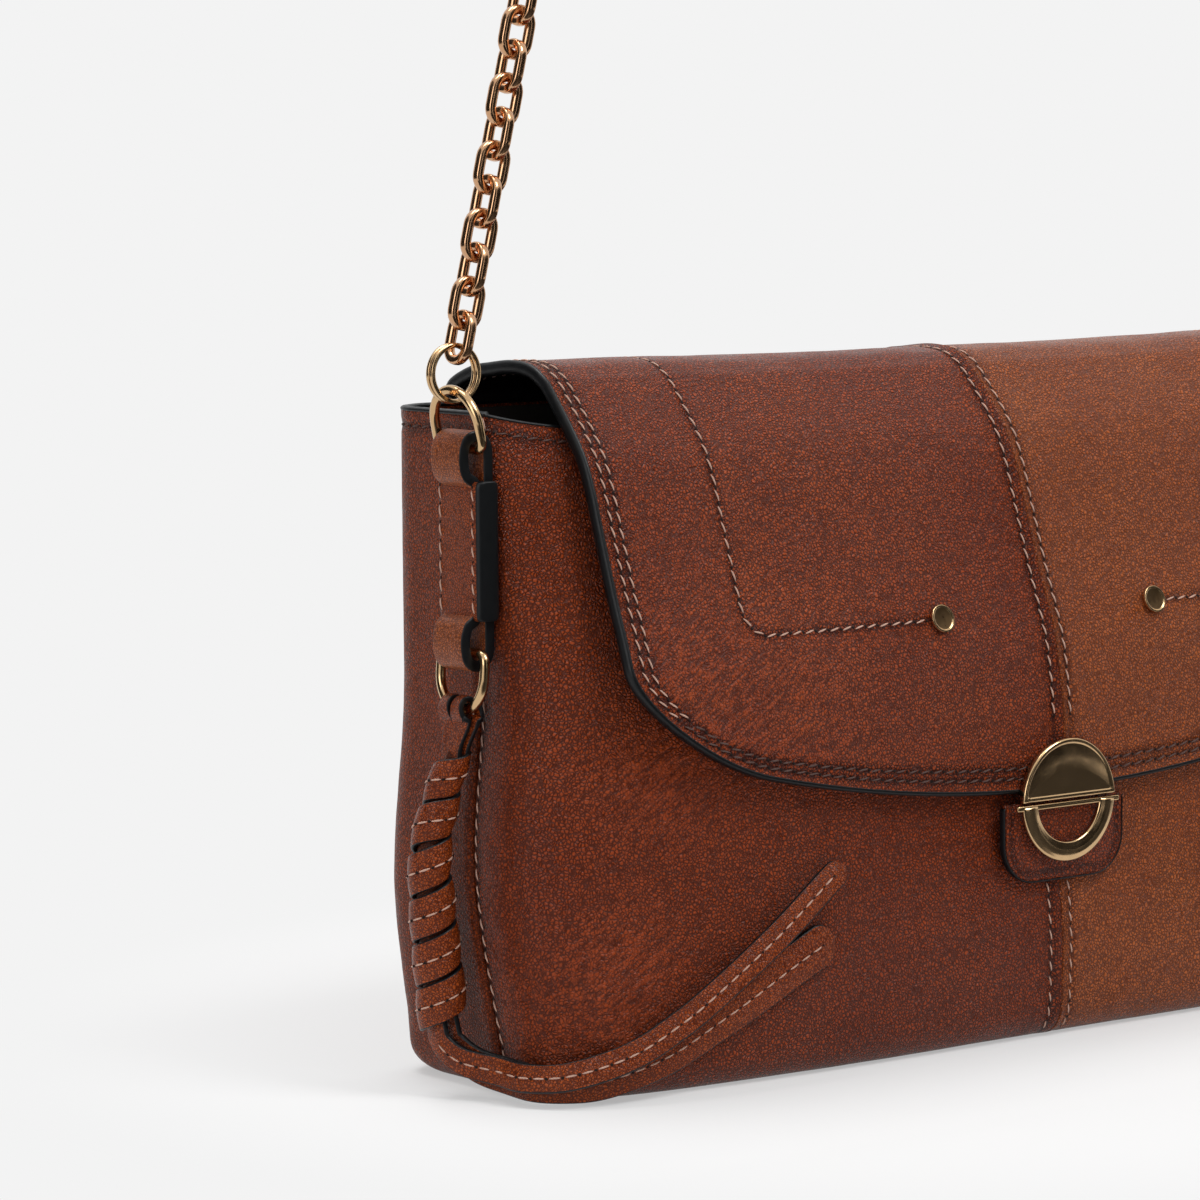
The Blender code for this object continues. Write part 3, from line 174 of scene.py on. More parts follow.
def leather(name, hollow_shade, low, high, depth_mm, gloss, grain_mm=GRAIN_MM, spread=0.12, lined=0.28):
    """The first colour is painted shade in the grain's hollows, which spread softens. Low and high
    are the ends of the leather's tones, and lined is the creases' share where nothing drags on it."""
    look, shader = new_material(name)
    spot = add_node(look, "ShaderNodeTexCoord").outputs["Object"]
    mottle = noise_node(look, spot, MOTTLE_MM, 4, Roughness=0.55)["Fac"]
    stain = noise_node(look, spot, STAIN_MM, 3)["Fac"]
    tone = add_node(look, "ShaderNodeValToRGB", {"Fac": mix_node(look, 0.35, mottle, stain)})
    for element, position, colour in zip(tone.color_ramp.elements, TONE_ENDS, (low, high)):
        element.position, element.color = position, linear(colour)
    warp = noise_node(look, spot, WARP_MM, 2)["Color"]
    bent = mix_node(look, WARP_SHARE, spot, warp, "VECTOR")
    cells = {"Vector": bent, "Scale": 1 / (grain_mm * MM), "Randomness": 0.95}
    cells = add_node(look, "ShaderNodeTexVoronoi", cells, feature="DISTANCE_TO_EDGE").outputs
    rounded = map_node(look, cells["Distance"], 0.0, 0.32, interpolation_type="SMOOTHSTEP")
    pebbles = mix_node(look, PORE_SHARE, rounded, noise_node(look, spot, PORE_MM, 2)["Fac"])
    turned = {"Vector": spot, "Rotation": (0, -STREAK_ANGLE, 0), "Scale": STREAK_STRETCH}
    turned = add_node(look, "ShaderNodeMapping", turned, vector_type="TEXTURE").outputs["Vector"]
    streaks = noise_node(look, turned, STREAK_MM, 3.5)["Fac"]
    drag = add_node(look, "ShaderNodeAttribute", attribute_name="drag").outputs["Fac"]
    share = math_node(look, "MULTIPLY_ADD", drag, MOST_STREAKED - lined, lined)
    height = mix_node(look, share, pebbles, streaks)
    seam = add_node(look, "ShaderNodeAttribute", attribute_name="seam").outputs["Fac"]
    # The grain's hollows, and the seam mark beside stitching, are painted darker: painted shade.
    painted_shade = map_node(look, height, 0.50 - spread, 0.52 + spread, 0.85, 0.0)
    painted_shade = math_node(look, "MULTIPLY_ADD", seam, SEAM_SHADE, painted_shade, use_clamp=True)
    grained = mix_node(look, painted_shade, tone.outputs["Color"], linear(hollow_shade), "RGBA")
    look.node_tree.links.new(grained, shader.inputs["Base Color"])
    rough = map_node(look, stain, 0.3, 0.7, gloss - 0.05, gloss + 0.07)
    finish_surface(look, shader, height, 1.0, depth_mm, rough, 0.2)
    return look


FLAP_BROWN = leather(
    "waxed_cowhide_flap", "#3c1104", "#8e3611", "#a64a1e", 1.10, 0.30, spread=0.08, lined=0.42
)
FLAP_TAN = leather(
    "waxed_cowhide_tan", "#55240c", "#9c491b", "#b25e2a", 0.90, 0.30, spread=0.09, lined=0.42
)
BODY_BROWN = leather("waxed_cowhide_body", "#3a1205", "#86330f", "#9e431a", 0.80, 0.30, spread=0.11)
SIDE_BROWN = leather("waxed_cowhide_side", "#3e1606", "#86330a", "#9a4112", 0.55, 0.40)
TAB_BROWN = leather("waxed_tab_leather", "#401606", "#8a360e", "#9e481a", 0.32, 0.40, 0.7)
TAB_TAN = leather("waxed_band_leather", "#542614", "#94491f", "#a6592a", 0.20, 0.34, 0.7)
LACE_BROWN = leather("waxed_lace_leather", "#451606", "#8c3a10", "#a44c1c", 0.30, 0.26, 0.7)
# The lace leather painted darker for the core inside the winding: painted shade.
LACE_IN_SHADE = leather("waxed_inner_lace_leather", "#33120a", "#5e2810", "#723718", 0.16, 0.5, 0.7)
LINING_LEATHER = leather("dark_lining_leather", "#100d0c", "#1a1513", "#231c19", 0.10, 0.6, 0.8)
print("leathers:", len(bpy.data.materials))

# %% [markdown]
# ## Edge paint, thread, lining and metal
#
# Cut leather edges are sealed with several coats of black acrylic paint, which dries to a
# rounded, half-gloss bead. The thread is waxed polyester in a dusty rose brown; a darker copy of
# it is painted shade, for rows under and inside the flap, along its lower edge, on the rims and
# in the pocket. The lining is a dark cotton twill. The metal parts are zinc and steel with a
# pale gold plating: a metal with a slightly uneven polish, so that its reflections waver.


# %% Edge paint, thread, lining and metal
def plain_finish(name, hex_colour, roughness, bump_mm, size_mm, metallic=0.0):
    look, shader = new_material(name)
    spot = add_node(look, "ShaderNodeTexCoord").outputs["Object"]
    grain = noise_node(look, spot, size_mm, 4)["Fac"]
    rough = map_node(look, grain, 0.3, 0.7, roughness - 0.05, roughness + 0.08)
    finish_surface(look, shader, grain, 0.5, bump_mm, rough, 0.3)
    shader.inputs["Base Color"].default_value = linear(hex_colour)
    shader.inputs["Metallic"].default_value = metallic
    return look


EDGE_PAINT = plain_finish("black_edge_paint", "#0d0f11", 0.40, 0.08, 1.6)
THREAD = plain_finish("waxed_polyester_thread", "#c29c8a", 0.6, 0.10, 0.5)
# A darker copy of the thread: painted shade for stitches that lie in shade.
THREAD_IN_SHADE = plain_finish("waxed_thread_painted_shade", "#56403a", 0.6, 0.10, 0.5)
# Flat dark dots between stitches: painted shade in the needle holes.
NEEDLE_HOLE_SHADE = plain_finish("needle_hole_shadow", "#180c08", 0.8, 0.02, 0.5)
TWILL = plain_finish("cotton_twill_lining", "#2b2522", 0.85, 0.25, 0.6)
GOLD = plain_finish("pale_gold_plating", "#cdab80", 0.15, 0.015, 3.0, 1.0)
CHAIN_GOLD = plain_finish("rose_gold_plating", "#cda07a", 0.15, 0.015, 3.0, 1.0)
# A darker gold for the rivets' pressed faces: painted shade and reflection.
GOLD_IN_SHADE = plain_finish("pressed_gold_painted_shade", "#6e573c", 0.32, 0.03, 0.8, 1.0)
STEEL = plain_finish("nickel_plating", "#8d8f92", 0.3, 0.02, 1.0, 1.0)
print("materials in all:", len(bpy.data.materials))


# %% [markdown]
# ## Bending a grid
#
# Leather panels start as flat sheets, and so do the meshes here: a grid primitive is added
# and each of its points is moved to a place on the bag's surface. A closed strap is a grid
# too, rolled up until its two long edges meet and are merged. This keeps the faces small and
# even, which the fine folds and grooves need and which no extruded primitive would give.


# %% Grid helpers
def deselect():
    bpy.ops.object.select_all(action="DESELECT")


def only(piece):
    deselect()
    piece.select_set(True)
    bpy.context.view_layer.objects.active = piece


def dress(piece, body, slot, *nodes):
    """Attaches a piece to the moving body it rides on and hides the nodes it stands for. The slot
    is not used.
    """
    if nodes:
        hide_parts(*nodes)
    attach(piece, body)
    return piece


def bend_grid(name, points, looks, paint=None, closed=False):
    """A grid primitive moved onto an array of points (rows, columns, 3). Paint picks the
    material of each face by its row and column."""
    rows, columns = points.shape[0] - 1, points.shape[1] - 1
    deselect()
    bpy.ops.mesh.primitive_grid_add(x_subdivisions=columns, y_subdivisions=rows, size=2)
    piece = bpy.context.object
    piece.name = piece.data.name = name
    flat = np.empty(len(piece.data.vertices) * 3)
    piece.data.vertices.foreach_get("co", flat)
    flat = flat.reshape(-1, 3)
    column = np.rint((flat[:, 0] + 1) / 2 * columns).astype(int)
    row = np.rint((flat[:, 1] + 1) / 2 * rows).astype(int)
    piece.data.vertices.foreach_set("co", points[row, column].ravel())
    piece.data.update()
    for look in looks:
        piece.data.materials.append(look)
    if paint is not None:
        corners = np.empty(len(piece.data.loops), int)
        piece.data.loops.foreach_get("vertex_index", corners)
        corners = corners.reshape(-1, 4)
        index = paint(row[corners].min(1), column[corners].min(1))
        piece.data.polygons.foreach_set("material_index", np.asarray(index, np.int32))
    if closed:
        bpy.ops.object.mode_set(mode="EDIT")
        bpy.ops.mesh.select_all(action="SELECT")
        bpy.ops.mesh.remove_doubles(threshold=1e-6)
        bpy.ops.mesh.fill_holes(sides=0)
        bpy.ops.mesh.select_all(action="SELECT")
        bpy.ops.mesh.normals_make_consistent(inside=False)
        bpy.ops.object.mode_set(mode="OBJECT")
    bpy.ops.object.shade_smooth()
    return piece


def sheet_of(name, points, look, thickness, **marks):
    """A sheet bent onto points and thickened inward. Each mark is an attribute that holds
    one number per grid point, stored before the modifier changes the points."""
    piece = bend_grid(name, points, [look])
    for mark, values in marks.items():
        made = piece.data.attributes.new(mark, "FLOAT", "POINT")
        made.data.foreach_set("value", np.asarray(values, np.float32).ravel())
    only(piece)
    bpy.ops.object.modifier_add(type="SOLIDIFY")
    modifier = piece.modifiers[-1]
    modifier.thickness = thickness
    modifier.offset = -1
    modifier.use_even_offset = True
    bpy.ops.object.modifier_apply(modifier=modifier.name)
    return piece


# %% [markdown]
# ## Runs of points
#
# Most shapes here follow a run: an array of points along a seam, an edge or a wire. These
# helpers draw smooth runs and arcs, measure them, and read them at even distances.


# %% Run helpers
def unit(vectors):
    return vectors / np.maximum(np.linalg.norm(vectors, axis=-1, keepdims=True), 1e-12)


def face_normals(points):
    """Unit normals of a grid of points, pointing out for rows that rise and columns to +X."""
    return unit(np.cross(np.gradient(points, axis=1), np.gradient(points, axis=0)))


def bell(distance, width=0.0011):
    """1 on a line and falling to 0 beside it: how a stitch line draws the leather in."""
    return np.exp(-((distance / width) ** 2))


def smooth_value(shares, t):
    """A smooth curve through a table of pairs, read at t."""
    last = len(shares) - 2
    at = next((i for i in range(last + 1) if t <= shares[i + 1][0]), last)
    (t0, v0), (t1, v1) = shares[at], shares[at + 1]
    before = shares[at - 1] if at > 0 else shares[at]
    after = shares[at + 2] if at < last else shares[at + 1]
    slope0 = (v1 - before[1]) / (t1 - before[0])
    slope1 = (after[1] - v0) / (after[0] - t0)
    w = (t - t0) / (t1 - t0)
    rise = v0 * (2 * w**3 - 3 * w**2 + 1) + v1 * (3 * w**2 - 2 * w**3)
    return rise + (t1 - t0) * (slope0 * (w**3 - 2 * w**2 + w) + slope1 * (w**3 - w**2))


def spline(points, steps):
    """A smooth run through the points, with steps pieces between each two."""
    points = np.asarray(points, float)
    t = (np.arange(steps) / steps)[:, None]
    run = []
    for i in range(len(points) - 1):
        p0, p1 = points[max(i - 1, 0)], points[i]
        p2, p3 = points[i + 1], points[min(i + 2, len(points) - 1)]
        square = (2 * p0 - 5 * p1 + 4 * p2 - p3) * t**2
        cube = (3 * p1 - p0 - 3 * p2 + p3) * t**3
        run.append(0.5 * (2 * p1 + (p2 - p0) * t + square + cube))
    return np.concatenate(run + [points[-1:]])


def arc(across, up, radius, start, end, count):
    """Points on an arc round a centre, between two angles in radians."""
    angles = np.linspace(start, end, count)
    return np.stack([across + radius * np.cos(angles), up + radius * np.sin(angles)], 1)


def run_direction(run):
    return unit(np.gradient(run, axis=0))


def distances(run):
    return np.concatenate([[0], np.cumsum(np.linalg.norm(np.diff(run, axis=0), axis=1))])


def at_distance(run, where, values=None):
    """Points of a run, or values that go with them, at given distances along it."""
    total = distances(run)
    values = run if values is None else values
    return np.stack([np.interp(where, total, column) for column in values.T], -1)


def even(run, count):
    """The run drawn again with a number of points at even distances."""
    return at_distance(run, np.linspace(0, distances(run)[-1], count))


def leaned(wide, out, angle):
    """Two directions square to each other, leaned by one angle or one for each point."""
    cosine, sine = np.cos(np.reshape(angle, (-1, 1))), np.sin(np.reshape(angle, (-1, 1)))
    return cosine * wide + sine * out, cosine * out - sine * wide


# %% [markdown]
# ## The shape of the body
#
# Each height of the bag has one closed outline. The front is a rounded curve that is fullest
# a seventh of the way up, and the back is nearly flat with rounded corners. The two meet at a
# side seam under the strap. The numbers are those of the CAD model, so that each leather
# panel lies exactly on its solid.

# %% Body outline
HALF_WIDTH = 0.1525
BODY_HEIGHT = 0.1615
BACK_DEPTH = 0.0400
FRONT_DEPTH = 0.0365
BACK_CORNER_RADIUS = 0.012
BOTTOM_RADIUS = 0.008
SIDE_BULGE, SIDE_BULGE_HEIGHT = 0.0035, 0.0985
FRONT_RIM_DIP = 0.006
LEATHER_THICKNESS = 0.0020
SEAM_GAP = 0.0006
ROUND_ROWS = 10
FRONT_SHARES = (
    (0.0, 0.985), (0.149, 1.0), (0.25, 0.965), (0.327, 0.925), (0.393, 0.905),
    (0.467, 0.902), (0.555, 0.865), (0.622, 0.81), (0.734, 0.63), (0.839, 0.475),
    (0.897, 0.385), (0.963, 0.225), (1.0, 0.10),
)
SEAM_SHARES = ((0.0, 0.20), (0.12, 0.10), (0.4, -0.04), (0.7, -0.03), (1.0, -0.02))


def front_y(z):
    return -FRONT_DEPTH * smooth_value(FRONT_SHARES, z / BODY_HEIGHT)


def seam_y(z):
    return -FRONT_DEPTH * smooth_value(SEAM_SHARES, z / BODY_HEIGHT)


def side_x(z):
    return HALF_WIDTH + SIDE_BULGE * math.sin(math.pi * min(z / SIDE_BULGE_HEIGHT, 1)) ** 2


def front_run(z):
    """The right half of the front at one height, from the middle to the side seam."""
    angle = np.linspace(0, QUARTER, 200)
    out = np.sqrt(np.maximum(np.cos(angle), 0))
    y = seam_y(z) + (front_y(z) - seam_y(z)) * out
    return np.stack([side_x(z) * np.sqrt(np.sin(angle)), y], 1)


def back_run(z):
    """The right half of the back at one height, from the side seam to the middle."""
    x, radius = side_x(z), BACK_CORNER_RADIUS
    corner = arc(x - radius, BACK_DEPTH - radius, radius, 0, QUARTER, 24)
    return np.concatenate([[(x, seam_y(z))], corner, [(0, BACK_DEPTH)]])


HEIGHTS = np.linspace(0, BODY_HEIGHT, 80)
FRONT_Y = np.array([front_y(z) for z in HEIGHTS])
SIDE_X = np.array([side_x(z) for z in HEIGHTS])


def outline_table(run_of, shares, start_gap, end_gap):
    """Points at shares of the run, less a gap at either end, for every height of the table."""
    table = []
    for run in map(run_of, HEIGHTS):
        span = distances(run)[-1] - start_gap - end_gap
        table.append(at_distance(run, start_gap + span * shares))
    return np.array(table)


def on_table(table, z, inset):
    """A table's outline at a height, or at one height for each of its points. It is drawn
    inward by the inset, as where the body rounds over into its base."""
    z = np.broadcast_to(z, table.shape[1])
    read = [[np.interp(z[j], HEIGHTS, table[:, j, k]) for j in range(len(z))] for k in (0, 1)]
    front = np.interp(z, HEIGHTS, FRONT_Y)
    middle, half_depth = (BACK_DEPTH + front) / 2, (BACK_DEPTH - front) / 2
    x = np.array(read[0]) * (1 - inset / np.interp(z, HEIGHTS, SIDE_X))
    y = middle + (np.array(read[1]) - middle) * (1 - inset / half_depth)
    return np.stack([x, y, z], -1)


def rim_height(x, on_front):
    return BODY_HEIGHT - on_front * FRONT_RIM_DIP * (1 - np.abs(x / HALF_WIDTH) ** 6)


def panel_points(table, on_front, wall_rows):
    """Places on the body's surface, from the rounded lower edge to the rim."""
    rows = []
    for angle in np.linspace(QUARTER, 0, ROUND_ROWS, endpoint=False):
        lift, inset = 1 - math.sin(angle), 1 - math.cos(angle)
        rows.append(on_table(table, BOTTOM_RADIUS * lift, BOTTOM_RADIUS * inset))
    tops = rim_height(table[-1, :, 0], on_front)
    for climb in np.linspace(0, 1, wall_rows + 1):
        rows.append(on_table(table, BOTTOM_RADIUS + climb * (tops - BOTTOM_RADIUS), 0))
    return np.array(rows)


print("body outlines at", len(HEIGHTS), "heights")

# %% [markdown]
# ## Stitches
#
# A stitch is a short piece of waxed thread whose ends dive into the leather. One is shaped
# from a small sphere, and a row repeats it along a line at the machine's stitch length, each
# one turned a few degrees as a lockstitch lies. A flat dark dot between two stitches is painted
# shade: the shadow in the hole that the needle left.

# %% Stitch rows
STITCH_PITCH = 0.0039
STITCH_LENGTH = 0.0030
STITCH_RADIUS = 0.00024
STITCH_SLANT = math.radians(14)
HOLE_SHADE_SIZE = (0.00042, 0.00036, 0.00010)

deselect()
bpy.ops.mesh.primitive_uv_sphere_add(segments=6, ring_count=6, radius=1, rotation=(0, QUARTER, 0))
pattern = bpy.context.object
bpy.ops.object.transform_apply(rotation=True)
BALL = np.array([v.co for v in pattern.data.vertices])
BALL_FACES = [tuple(p.vertices) for p in pattern.data.polygons]
bpy.data.objects.remove(pattern)


def stitch_row(name, run, normals, body, thread, slant=STITCH_SLANT):
    """Stitches, with dots of painted shade for the needle holes, along a run on a surface with the
    given outward normals.
    """
    length = distances(run)[-1]
    count = max(int(length / STITCH_PITCH), 1)
    where = (np.arange(count) + 0.5) * length / count
    spots = at_distance(run, where)
    out = unit(at_distance(run, where, normals))
    reach = 0.3 * STITCH_PITCH
    along = at_distance(run, where + reach) - at_distance(run, where - reach)
    along = unit(along - out * np.sum(along * out, 1, keepdims=True))
    slanted = leaned(along, np.cross(out, along), slant)[0]
    stitch = BALL * (STITCH_LENGTH / 2, STITCH_RADIUS, STITCH_RADIUS)
    lift = STITCH_RADIUS * (0.5 - 0.9 * BALL[:, 0] ** 2)
    hole_shades = spots + along * STITCH_PITCH / 2
    vertices = []
    for shape, centre, axis, rise in (
        (stitch, spots, slanted, lift),
        (BALL * HOLE_SHADE_SIZE, hole_shades, along, 0 * lift),
    ):
        placed = (
            centre[:, None]
            + shape[None, :, :1] * axis[:, None]
            + shape[None, :, 1:2] * np.cross(out, axis)[:, None]
            + (shape[:, 2] + rise)[None, :, None] * out[:, None]
        )
        vertices.append(placed.reshape(-1, 3))
    starts = range(0, 2 * count * len(BALL), len(BALL))
    faces = [tuple(v + start for v in face) for start in starts for face in BALL_FACES]
    mesh = bpy.data.meshes.new(name)
    mesh.from_pydata(np.concatenate(vertices), [], faces)
    mesh.materials.append(thread)
    mesh.materials.append(NEEDLE_HOLE_SHADE)
    mesh.polygons.foreach_set("material_index", np.arange(len(faces)) // (len(faces) // 2))
    piece = bpy.data.objects.new(name, mesh)
    bpy.context.scene.collection.objects.link(piece)
    only(piece)
    bpy.ops.object.shade_smooth()
    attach(piece, body)


print("faces in a stitch:", len(BALL_FACES))

# %% [markdown]
# ## Body panels
#
# The leather is soft, so the panels aren't smooth. Low noise gives the slack of the belly,
# and a finer, stretched noise gives the drag lines that run from the lower corner and under
# the flap. Along every stitch line the leather is drawn in by a third of a millimetre, and
# beside the middle seam it rises into a ridge.

# %% Folds
BELLY_WAVE, FINE_WAVE = 0.0010, 0.00025
CORNER_BULGE = 0.0016
CORNER_CREASE, FLAP_CREASE = 0.0012, 0.0007


def fold_noise(points, size, stretch, seed):
    """Smooth noise from -1 to 1 at each point, with folds about as wide as size."""
    flat = points.reshape(-1, 3) * (np.asarray(stretch) / size) + seed * 7.31
    return np.array([noise.noise(Vector(p)) for p in flat]).reshape(points.shape[:-1])


def near(points, x, z, width, height):
    """1 at a place on both sides of the bag, falling to 0 around it."""
    return bell(np.abs(points[..., 0]) - x, width) * bell(points[..., 2] - z, height)


def slack(points):
    """The belly's slow waves, the finer drag lines, and the creased lower corner."""
    slow = fold_noise(points, 0.045, (1, 1, 1.3), 1)
    fine = fold_noise(points, 0.011, (0.8, 1, 1.7), 2)
    creases = fold_noise(points, 0.0042, (0.45, 0.45, 1.5), 6)
    low = np.clip(1 - points[..., 2] / 0.12, 0, 1)
    corner = near(points, 0.1385, 0.021, 0.009, 0.012)
    dent = near(points, 0.1470, 0.015, 0.006, 0.016)
    flap_edge = near(points, 0.120, 0.073, 0.018, 0.012)
    waves = BELLY_WAVE * slow * low + FINE_WAVE * fine * (0.3 + low)
    crease_depth = CORNER_CREASE * corner + FLAP_CREASE * flap_edge
    return waves + CORNER_BULGE * (corner - dent) + creases * crease_depth


# %% Front and back panels
SIDE_STITCH_INSET = 0.0020
RIM_STITCH_DROP = 0.0040
MIDDLE_STITCH = 0.0028
GROOVE_DEPTH = 0.00035
SEAM_RIDGE, SEAM_TUCK, BACK_TUCK = 0.0006, 0.0009, 0.0006
BACK_SINK = 0.0004
DRAGGED_SPOTS = ((0.136, 0.026, 0.022, 0.026), (0.120, 0.075, 0.025, 0.016))


def run_across(points):
    """How far each point lies along its row."""
    steps = np.diff(points, axis=1, prepend=points[:, :1])
    return np.cumsum(np.linalg.norm(steps, axis=2), axis=1)


def nearest(points, normals, off_line, axis, keep=slice(None)):
    """The points that lie nearest to a stitch line, one for each row or column."""
    at = np.expand_dims(np.abs(off_line).argmin(axis), (axis, 2))
    return [np.take_along_axis(v, at, axis).squeeze(axis)[keep] for v in (points, normals)]


def eased(shift):
    """The shift of a panel's points, fading out toward its lower edge."""
    shift[:ROUND_ROWS] *= np.linspace(0, 1, ROUND_ROWS)[:, None]
    return shift


def front_panel(side, sign, look, slot):
    table = outline_table(front_run, np.linspace(0, 1, 111), SEAM_GAP / 2, SEAM_GAP / 2)
    points = panel_points(table, True, 92)
    normals = face_normals(points)
    across = run_across(points)
    to_seam = across[:, -1:] - across
    drop = rim_height(points[..., 0], True) - points[..., 2]
    # The rim row is sewn in the darker thread, painted shade under the flap.
    lines = (
        ("side", to_seam - SIDE_STITCH_INSET, 1, slice(ROUND_ROWS, None), THREAD),
        ("middle", across - MIDDLE_STITCH, 1, slice(4, -1), THREAD),
        ("rim", drop - RIM_STITCH_DROP, 0, slice(None), THREAD_IN_SHADE),
    )
    groove = np.maximum.reduce([bell(line[1]) for line in lines])
    inside = np.clip(np.minimum(to_seam, drop) / 0.006, 0, 1)
    shift = slack(points) * inside - GROOVE_DEPTH * groove
    shift += SEAM_RIDGE * bell(across, 0.0016) - SEAM_TUCK * bell(to_seam, 0.0009)
    points = points + normals * eased(shift)[..., None]
    mirror = np.array((sign, 1, 1))
    placed = (points * mirror)[:, ::sign]
    drag = [near(placed, *spot) for spot in DRAGGED_SPOTS]
    # The seam mark paints shade into the leather along the stitch grooves.
    marks = {"seam": groove[:, ::sign], "drag": np.maximum(*drag)}
    piece = sheet_of("front_leather_" + side, placed, look, LEATHER_THICKNESS, **marks)
    dress(piece, "bag", slot, "front_panel_" + side)
    for label, off_line, axis, keep, thread in lines:
        run, out = nearest(points, normals, off_line, axis, keep)
        name = "front_%s_stitches_%s" % (label, side)
        stitch_row(name, run * mirror, out * mirror, "bag", thread)
    return placed


def back_panel():
    half = outline_table(back_run, np.linspace(0, 1, 101) ** 1.25, SEAM_GAP / 2, 0)
    table = np.concatenate([half, (half * (-1, 1))[:, ::-1][:, 1:]], axis=1)
    points = panel_points(table, False, 80)
    normals = face_normals(points)
    across = run_across(points)
    to_seam = np.minimum(across, across[:, -1:] - across)
    drop = BODY_HEIGHT - points[..., 2]
    groove = bell(drop - RIM_STITCH_DROP)
    inside = np.clip(np.minimum(to_seam, drop) / 0.008, 0, 1)
    shift = 0.5 * slack(points) * inside - GROOVE_DEPTH * groove - BACK_TUCK * bell(to_seam, 0.0012)
    shift = eased(shift) - BACK_SINK * (points[..., 1] > BACK_DEPTH - 0.003)
    points = points + normals * shift[..., None]
    # The seam mark paints shade along the rim's stitch groove.
    piece = sheet_of("back_leather", points, SIDE_BROWN, LEATHER_THICKNESS, seam=groove)
    dress(piece, "bag", "leather_dark", "back_panel")
    run, out = nearest(points, normals, drop - RIM_STITCH_DROP, 0)
    # The back rim row is sewn in the darker thread, painted shade.
    stitch_row("back_rim_stitches", run, out, "bag", THREAD_IN_SHADE)
    return points


LEFT_FRONT = front_panel("left", -1, BODY_BROWN, "leather_brown")
RIGHT_FRONT = front_panel("right", 1, FLAP_TAN, "leather_tan")
BACK = back_panel()
print("body panels:", LEFT_FRONT.shape, BACK.shape)

# %% [markdown]
# ## Painted edges
#
# A painted edge is a bead that runs along the cut and stands a little proud of both faces. It
# is a rolled-up grid: an oval is carried along the edge, wide enough to cover all the layers.

# %% Edge beads
OVAL = [(math.cos(a), math.sin(a)) for a in np.linspace(0, 2 * math.pi, 13)]
PAINT_PROUD, PAINT_OVERLAP = 0.0007, 0.0002


def rolled(name, run, wide, out, half_width, half_height, look, section=OVAL):
    """Carries a closed section along a run. Its x goes to wide and its y to out."""
    half_width = np.broadcast_to(half_width, len(run))[:, None]
    half_height = np.broadcast_to(half_height, len(run))[:, None]
    section = np.asarray(section)[None]
    points = (
        run[:, None]
        + section[..., :1] * (wide * half_width)[:, None]
        + section[..., 1:] * (out * half_height)[:, None]
    )
    points[:, -1] = points[:, 0]
    return bend_grid(name, points, [look], closed=True)


half_width = LEATHER_THICKNESS / 2 + PAINT_OVERLAP
for name, panel in (
    ("front_rim_paint_left", LEFT_FRONT),
    ("front_rim_paint_right", RIGHT_FRONT),
    ("back_rim_paint", BACK),
):
    outward = face_normals(panel)[-1]
    run = panel[-1] - outward * LEATHER_THICKNESS / 2
    up = unit(np.cross(outward, run_direction(run)))
    up *= np.sign(up[:, 2:])
    bead = rolled(name, run, outward, up, half_width, PAINT_PROUD, EDGE_PAINT)
    dress(bead, "bag", "leather_dark")
print("rim beads:", 3)

# %% [markdown]
# ## Flap
#
# The flap is one curve in side view: it rises from the back rim, arches over the mouth and
# lies down the front. Its lower corners are rounded. A point of the flap is given by x and by
# the distance along that curve from the root.

# %% Flap shape
FLAP_HALF_WIDTH = 0.1335
FLAP_LEATHER = 0.0016
FLAP_TOTAL = 0.0030
FLAP_STAND_OFF = 0.0040
FLAP_RISE = 0.0112
FLAP_LOWEST = 0.0635
FLAP_CORNER_RADIUS = 0.040
FLAP_EDGE_RISE, FLAP_EDGE_SPAN = 0.012, 0.100
FLAP_CROWN_DIP, FLAP_DIP_RUN_IN = 0.0012, 0.0196
FLAP_SHOULDER_HEIGHT = 0.1535
FLAP_ROOT_UPRIGHT = 0.0022
AIR = 0.0003
ARCH_SHARES = (
    (0.0, 0.0), (0.05, 0.42), (0.20, 0.78), (0.34, 0.91),
    (0.50, 1.0), (0.64, 0.92), (0.73, 0.66), (0.80, 0.30),
)

front_side = []
for z in np.linspace(FLAP_SHOULDER_HEIGHT, FLAP_LOWEST, 11):
    slope = (front_y(z + AIR) - front_y(z - AIR)) / (2 * AIR)
    front_side.append((front_y(z) - FLAP_STAND_OFF * math.sqrt(1 + slope**2), z))
root_y, root_z = BACK_DEPTH, BODY_HEIGHT + AIR
foot = root_z + FLAP_ROOT_UPRIGHT
arch = [(root_y, root_z), (root_y, (root_z + foot) / 2)]
for forward, rise in ARCH_SHARES:
    y = root_y + (front_side[0][0] - root_y) * forward
    arch.append((y, foot + (FLAP_RISE - FLAP_ROOT_UPRIGHT) * rise))
FLAP_RUN = spline(arch + front_side, 12)
FLAP_LENGTH = distances(FLAP_RUN)[-1]
FLAP_STRAIGHT = FLAP_LENGTH - FLAP_CORNER_RADIUS
FLAP_CORNER_X = FLAP_HALF_WIDTH - FLAP_CORNER_RADIUS


